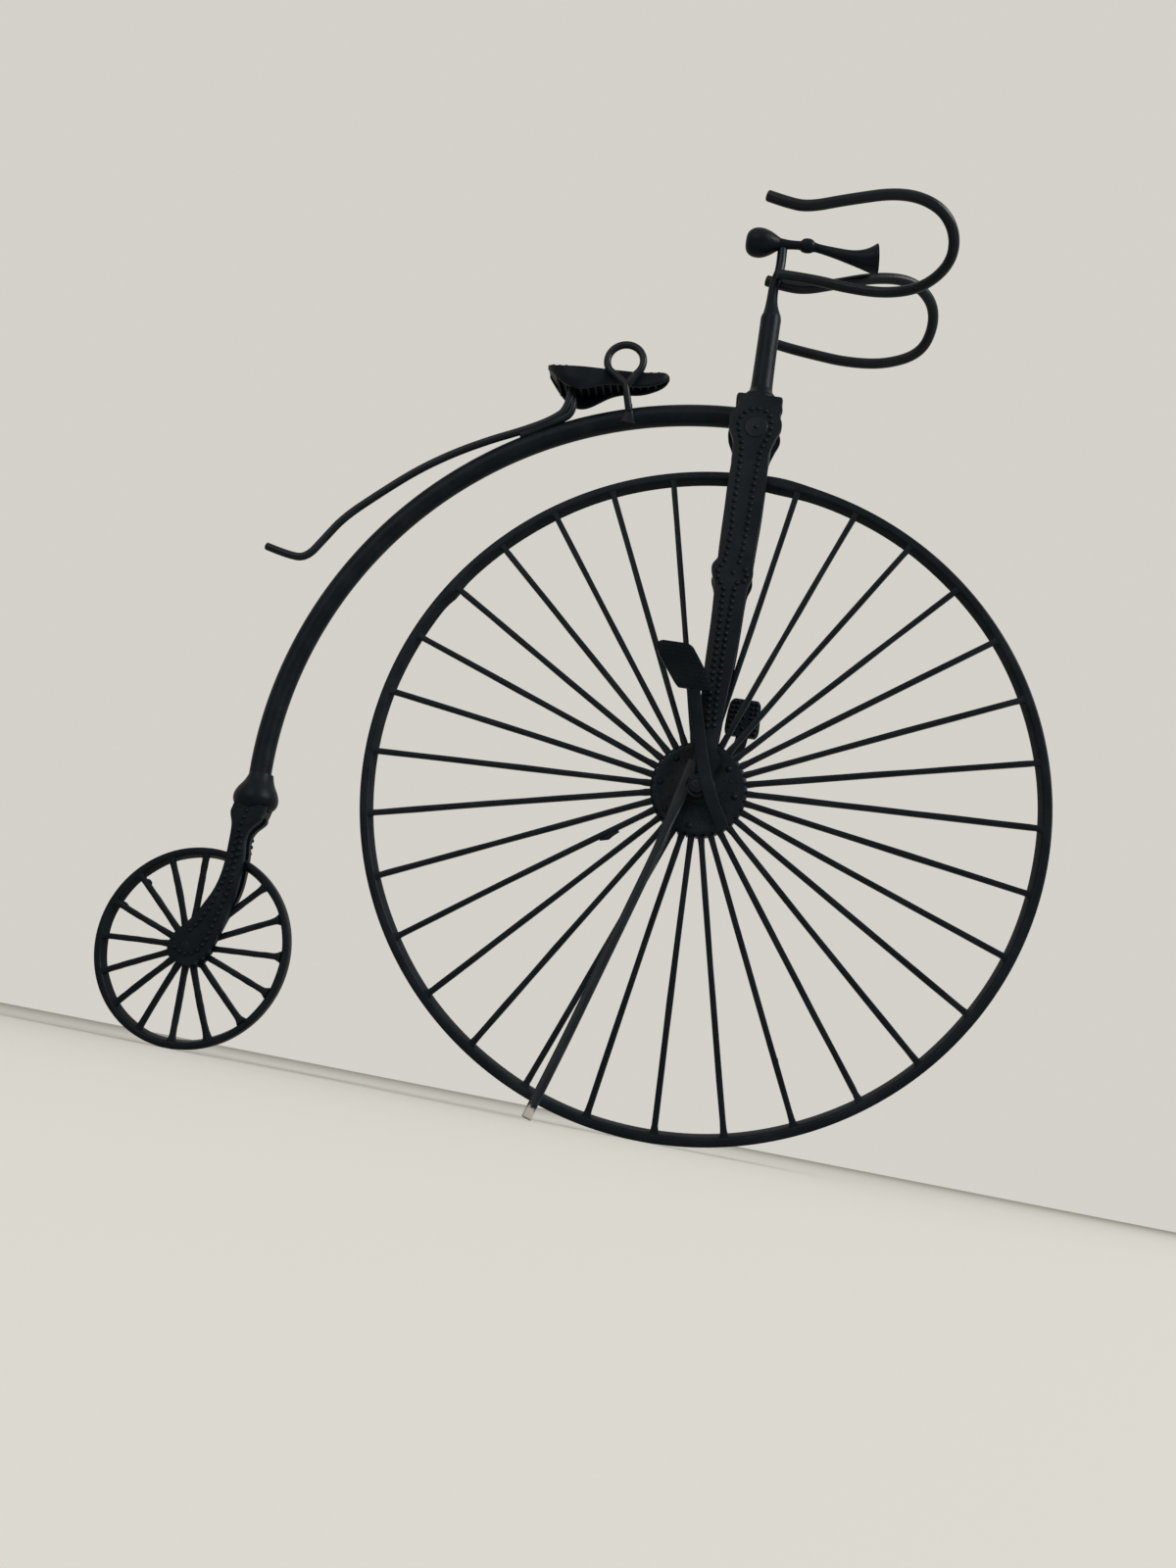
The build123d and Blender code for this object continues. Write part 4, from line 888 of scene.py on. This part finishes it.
def saddle_shell():
    """At each station, points of (distance from the middle, height) go down one flank outside and up it
    inside, and are mirrored to the other flank."""
    x, wide, top, low = saddle_rows.T
    wall = np.minimum(SADDLE_WALL, wide * 0.45)
    ceiling = np.minimum(SADDLE_CEILING, (top - low) * 0.7)
    tuck = wide * SADDLE_TUCK
    waist, level, under = (wide + tuck) / 2, (top + low) / 2, top - ceiling
    flank = [(0 * x, top - 0.35), (wide * 0.55, top - 0.25), (wide - 0.35, top), (wide, top - 0.2),
             (wide - 0.02, top - 0.55), (waist, level), (tuck + 0.05, low + 0.35), (tuck - wall * 0.35, low),
             (tuck - wall * 0.8, low + 0.05), (tuck - wall, low + 0.4), (waist - wall, level),
             (wide - wall - 0.3, under), (wide * 0.4, under + 0.1), (0 * x, under + 0.15)]
    half = np.array([(x, across, rise) for across, rise in flank]).transpose(0, 2, 1)
    other = half[1:-1][::-1] * (1, -1, 1)
    ring = np.concatenate([half, other]).transpose(1, 0, 2)
    return ring + (SADDLE_X, 0, SADDLE_Z)


def saddle_ribs():
    """Thin cross walls that hang from the ceiling, one part for each."""
    parts = []
    for x in np.arange(-7.4, 15.6, RIB_PITCH):
        wide, top, low = columns_at(saddle_rows[::-1], x)
        deep = min(RIB_DEEP, (top - low) * 0.35)
        under = SADDLE_Z + top - SADDLE_CEILING
        reach, middle = wide - SADDLE_WALL, SADDLE_X + x
        low_corner = (middle - RIB_HALF, -reach, under - deep)
        parts.append(block(low_corner, (middle + RIB_HALF, reach, under + 0.3), edge=0.2))
    return parts


def saddle_beads():
    """Beads along the top border, near and far, that show as a small row of bumps over its edge."""
    x = np.concatenate([np.arange(-8.8, -5.0, 1.7), np.arange(12.2, 17.4, 1.8)])
    wide, top, _ = columns_at(saddle_rows[::-1], x)
    sides = [xyz(SADDLE_X + x, side * (wide - 0.75), SADDLE_Z + top - 0.12) for side in (NEAR, FAR)]
    return domes(np.concatenate(sides), ABOVE, radius=0.55, height=0.42)


add_piece("saddle_cast", [shell(saddle_shell()), *saddle_ribs(), saddle_beads()],
          "cast_paint", "frame", "saddle")

# %% [markdown]
# The small wheel hangs between two more beaded plates, which run down from a domed collar and bend back
# to its pin.

# %% Rear fork
REAR_TOP = (-97.59, 0, 55.4)
REAR_IN, REAR_OUT = 1.9, 3.7
# Outline rows of (height, rear edge, fore edge)
REAR_ROWS = [
    (18.1, -103.4, -102.1), (18.4, -105.3, -101.6), (19.0, -107.0, -100.9), (20.0, -107.8, -99.8),
    (21.0, -108.1, -99.2), (22.0, -108.2, -98.7), (23.8, -107.8, -98.1), (25.5, -106.7, -97.6),
    (27.4, -105.0, -97.2), (29.4, -103.5, -96.8), (31.9, -102.4, -96.3), (34.6, -101.1, -95.9),
    (37.3, -100.3, -95.8), (39.9, -100.0, -95.8), (42.3, -99.9, -95.9), (44.5, -100.0, -96.1),
    (46.6, -100.1, -96.6), (48.6, -100.2, -96.6), (50.2, -100.4, -95.8), (51.2, -100.7, -94.8),
    (52.3, -101.2, -93.9), (53.3, -101.4, -94.1), (54.0, -101.2, -93.8), (55.4, -101.0, -93.6),
]
# Its two rows of beads, lines of (x, height). The fore one bends round under the pin.
REAR_BEADS = [
    [(-97.4, 55.2), (-97.7, 52.6), (-98.2, 50.2), (-98.4, 47.3), (-98.3, 44.7), (-98.4, 41.9),
     (-98.8, 39.1), (-99.4, 36.3), (-100.1, 33.6), (-100.8, 30.9), (-102.0, 28.3), (-103.7, 25.7)],
    [(-97.4, 48.0), (-97.2, 45.3), (-97.3, 42.2), (-97.3, 39.9), (-97.3, 37.0), (-97.6, 34.5),
     (-98.1, 31.9), (-98.7, 29.2), (-99.2, 26.5), (-99.8, 23.8), (-101.0, 21.8), (-102.6, 20.5),
     (-104.5, 20.5), (-106.3, 21.5)],
]
# How much less the far plate reaches forwards: heights, then the amounts
FAR_NARROWER = ((18, 20, 22, 26, 30, 34, 37), (0.3, 1.2, 1.8, 2.0, 1.7, 1.1, 0.75))


def rear_plate(side):
    """One plate and its two rows of beads. The far plate was cast narrower, so its beads lie closer too."""
    rows = np.array(REAR_ROWS)
    lines = np.vstack([bead_line(line, pitch=1.5) for line in REAR_BEADS])
    if side == FAR:
        rows[:, 2] -= np.interp(rows[:, 0], *FAR_NARROWER)
        lines[:, 0] -= 0.5 * np.interp(lines[:, 1], *FAR_NARROWER)
    return [
        plate(rows, side * REAR_IN, side * REAR_OUT, edge=0.4, crown=0.1),
        beads(lines, side * (REAR_OUT + 0.05), side, radius=0.6, height=0.6),
    ]


add_piece("rear_plate_near_cast", rear_plate(NEAR), "cast_paint", "frame", "rear_plate_near")
add_piece("rear_plate_far_cast", rear_plate(FAR), "cast_paint", "frame", "rear_plate_far")

# The collar's dome, rows of (height over the plates' tops, radius)
COLLAR_ROWS = [
    (-0.6, 3.9), (-0.1, 4.5), (0.8, 4.95), (1.7, 5.05), (2.6, 4.9), (3.8, 4.4), (5.0, 3.6), (6.2, 3.0),
    (7.6, 2.65),
]
collar_profile = np.vstack([[(-0.6, 0)], smooth_path(COLLAR_ROWS), [(7.6, 2.3), (7.6, 0)]])
add_piece("collar_dome", [
    shell(turned(collar_profile, REAR_TOP, ABOVE, AHEAD), ends=False),
    block((REAR_TOP[0] - 3.2, -1.95, 53.0), (REAR_TOP[0] + 3.2, 1.95, 55.6), edge=0.4),
], "cast_paint", "frame", "rear_collar")

# %% [markdown]
# Flat strips make the cranks and the top of the prop leg. They are carried along their routes with a thin
# rounded section, and the near one bows past the pin. The leg turns round and wiry below its knee.

# %% Pins and cranks
def rivet(x, z, radius, reach, head, dome):
    """A pin along Y, peened to a low dome at each end."""
    half = [(reach, radius), (reach, head), (reach + 0.3 * dome, 0.93 * head),
            (reach + 0.8 * dome, 0.55 * head), (reach + dome, 0)]
    rows = [(-y, r) for y, r in half[::-1]] + half
    return shell(turned(rows, (x, 0, z), ASIDE, AHEAD, around=28), ends=False)


front_rivet = rivet(0, FRONT_RADIUS, radius=1.3, reach=6.9, head=1.35, dome=0.1)
rear_rivet = rivet(REAR_CENTRE[0], REAR_RADIUS, radius=1.0, reach=3.72, head=1.2, dome=0.15)
add_piece("front_pin", [front_rivet], "pin_paint", "frame", "front_axle")
add_piece("rear_pin", [rear_rivet], "pin_paint", "frame", "rear_axle")

FLAT_SECTION = rounded(SQUARE, 0.35)
CRANK_WIDTH, CRANK_THICK, EYE_HOLE = 2.75, 1.0, 1.25
# The near strip, rows of (x, distance out, height), pedal to tail, and the far one the same way
CRANK_NEAR = [
    (-3.9, 9.3, 95.0), (-2.7, 8.4, 90.6), (-1.2, 7.3, 85.4), (0.4, 6.75, 80.1), (2.2, 6.7, 75.1),
    (4.2, 6.7, 71.0), (6.3, 6.5, 67.6), (7.0, 6.2, 66.3),
]
CRANK_FAR = [
    (7.6, 9.3, 91.3), (7.5, 8.8, 88.0), (5.6, 7.8, 84.2), (1.9, 6.9, 79.7), (-1.6, 6.7, 75.3),
    (-4.4, 6.7, 71.9), (-7.6, 6.5, 68.8),
]


def ring_eye(side, y_in, y_out, radius):
    """A strip's eye round the front pin, between two distances out."""
    rows = [(y_in, EYE_HOLE), (y_in, radius - 0.2), (y_in + 0.2, radius), (y_out - 0.2, radius),
            (y_out, radius - 0.2), (y_out, EYE_HOLE)]
    grid = turned(rows, FRONT_CENTRE, (0, side, 0), AHEAD, around=36)
    return shell(grid, ends=False, rows_close=True)


def crank(rows, side):
    """A flat strip along its route, its width in the side view, and its eye."""
    path = smooth_path(np.array(rows) * (1, side, 1), 6)
    grow = np.tile([CRANK_WIDTH / 2, CRANK_THICK / 2], (len(path), 1))
    return [shell(carried(path, FLAT_SECTION, ASIDE, grow)), ring_eye(side, 6.2, 7.1, radius=1.9)]


add_piece("crank_strip_near", crank(CRANK_NEAR, NEAR), "cast_paint", "frame", "crank_near")
add_piece("crank_strip_far", crank(CRANK_FAR, FAR), "cast_paint", "frame", "crank_far")

# %% Pedals
# Pedal plates, rows of (height, rear edge, fore edge, distance out)
PEDAL_NEAR = [
    (95.0, -7.3, -0.8, 9.1), (95.4, -7.9, 0.3, 9.3), (97.4, -9.6, -0.8, 10.3),
    (99.2, -11.2, -2.3, 11.4), (100.6, -12.3, -3.4, 12.3), (102.0, -13.0, -4.6, 13.2),
    (103.0, -12.9, -5.4, 13.7), (103.3, -12.0, -6.4, 13.8),
]
PEDAL_FAR = [
    (90.8, 4.1, 10.5, 9.1), (91.4, 3.4, 11.2, 9.4), (94.0, 3.3, 11.2, 10.4), (98.0, 3.4, 10.9, 12.2),
    (100.3, 3.7, 10.7, 13.3), (100.9, 4.5, 10.0, 13.6),
]
PEDAL_THICK = 1.1


def pedal(rows, side, dots):
    """A bent plate: level rows across it, thick along Y. It also gives the places of its dots, whose
    shares run across the plate and up it."""
    rows = smooth_path(rows)
    z, rear, fore, out = rows.T[..., None]
    ring = rounded(SQUARE, 0.3)
    x = (rear + fore) / 2 + ring[:, 0] * (fore - rear) / 2
    grid = xyz(x, side * (out + ring[:, 1] * PEDAL_THICK / 2), z)
    share, height = np.transpose(dots)
    dot_z = z[0] + (z[-1] - z[0]) * height
    rear, fore, out = columns_at(rows, dot_z)
    return shell(grid), np.column_stack([rear + (fore - rear) * share, dot_z]), out


near_dots = [(u, v) for v in np.linspace(0.1, 0.9, 9) for u in np.linspace(0.1, 0.9, 8)]
plate_part, spots, out = pedal(PEDAL_NEAR, NEAR, near_dots)
near_face = beads(spots, -out - PEDAL_THICK / 2, NEAR, radius=0.27, height=0.2, around=6)
add_piece("pedal_plate_near", [plate_part, near_face], "cast_paint", "frame", "pedal_near")

far_dots = [(u, v) for u in (0.13, 0.27, 0.73, 0.87) for v in np.linspace(0.1, 0.9, 7)]
far_dots += [(0.5, 0.2), (0.42, 0.35), (0.5, 0.5)]
plate_part, spots, out = pedal(PEDAL_FAR, FAR, far_dots)
far_face = beads(spots, out - PEDAL_THICK / 2 - 0.05, NEAR, radius=0.5, height=0.42)
add_piece("pedal_plate_far", [plate_part, far_face], "cast_paint", "frame", "pedal_far")

# %% Prop leg
# The prop leg, rows of (x, y, height, half width, half thickness), from above the pin to the ground
LEG_ROWS = [
    (-1.5, -5.5, 80.2, 1.2, 0.5), (-1.8, -5.5, 78.5, 1.4, 0.5), (-2.5, -5.5, 75.0, 1.4, 0.5),
    (-3.4, -5.5, 70.8, 1.4, 0.5), (-4.6, -6.8, 65.5, 1.15, 0.8), (-5.4, -8.4, 60.5, 0.95, 0.95),
    (-9.4, -12.8, 44.6, 0.95, 0.95), (-14.0, -17.6, 26.4, 0.95, 0.95),
    (-17.0, -20.9, 14.5, 0.95, 0.95), (-20.45, -24.62, 1.85, 0.95, 0.95),
]
leg_rows = smooth_path(LEG_ROWS, 6)
leg_section = rounded(SQUARE, 0.62, 5)
leg_grid = carried(leg_rows[:, :3], leg_section, ASIDE, leg_rows[:, 3:])
# The paint is off the leg's tip
leg_paint = black_paint("leg_black", **WIRE_FINISH, chips=[(parked((-20.4, -24.6, 1.9)), 0.0022)])
add_piece("prop_leg", [shell(leg_grid), ring_eye(NEAR, 5.0, 6.0, radius=2.6)],
          "wire_paint", "stand", "stand_leg", paint=leg_paint)
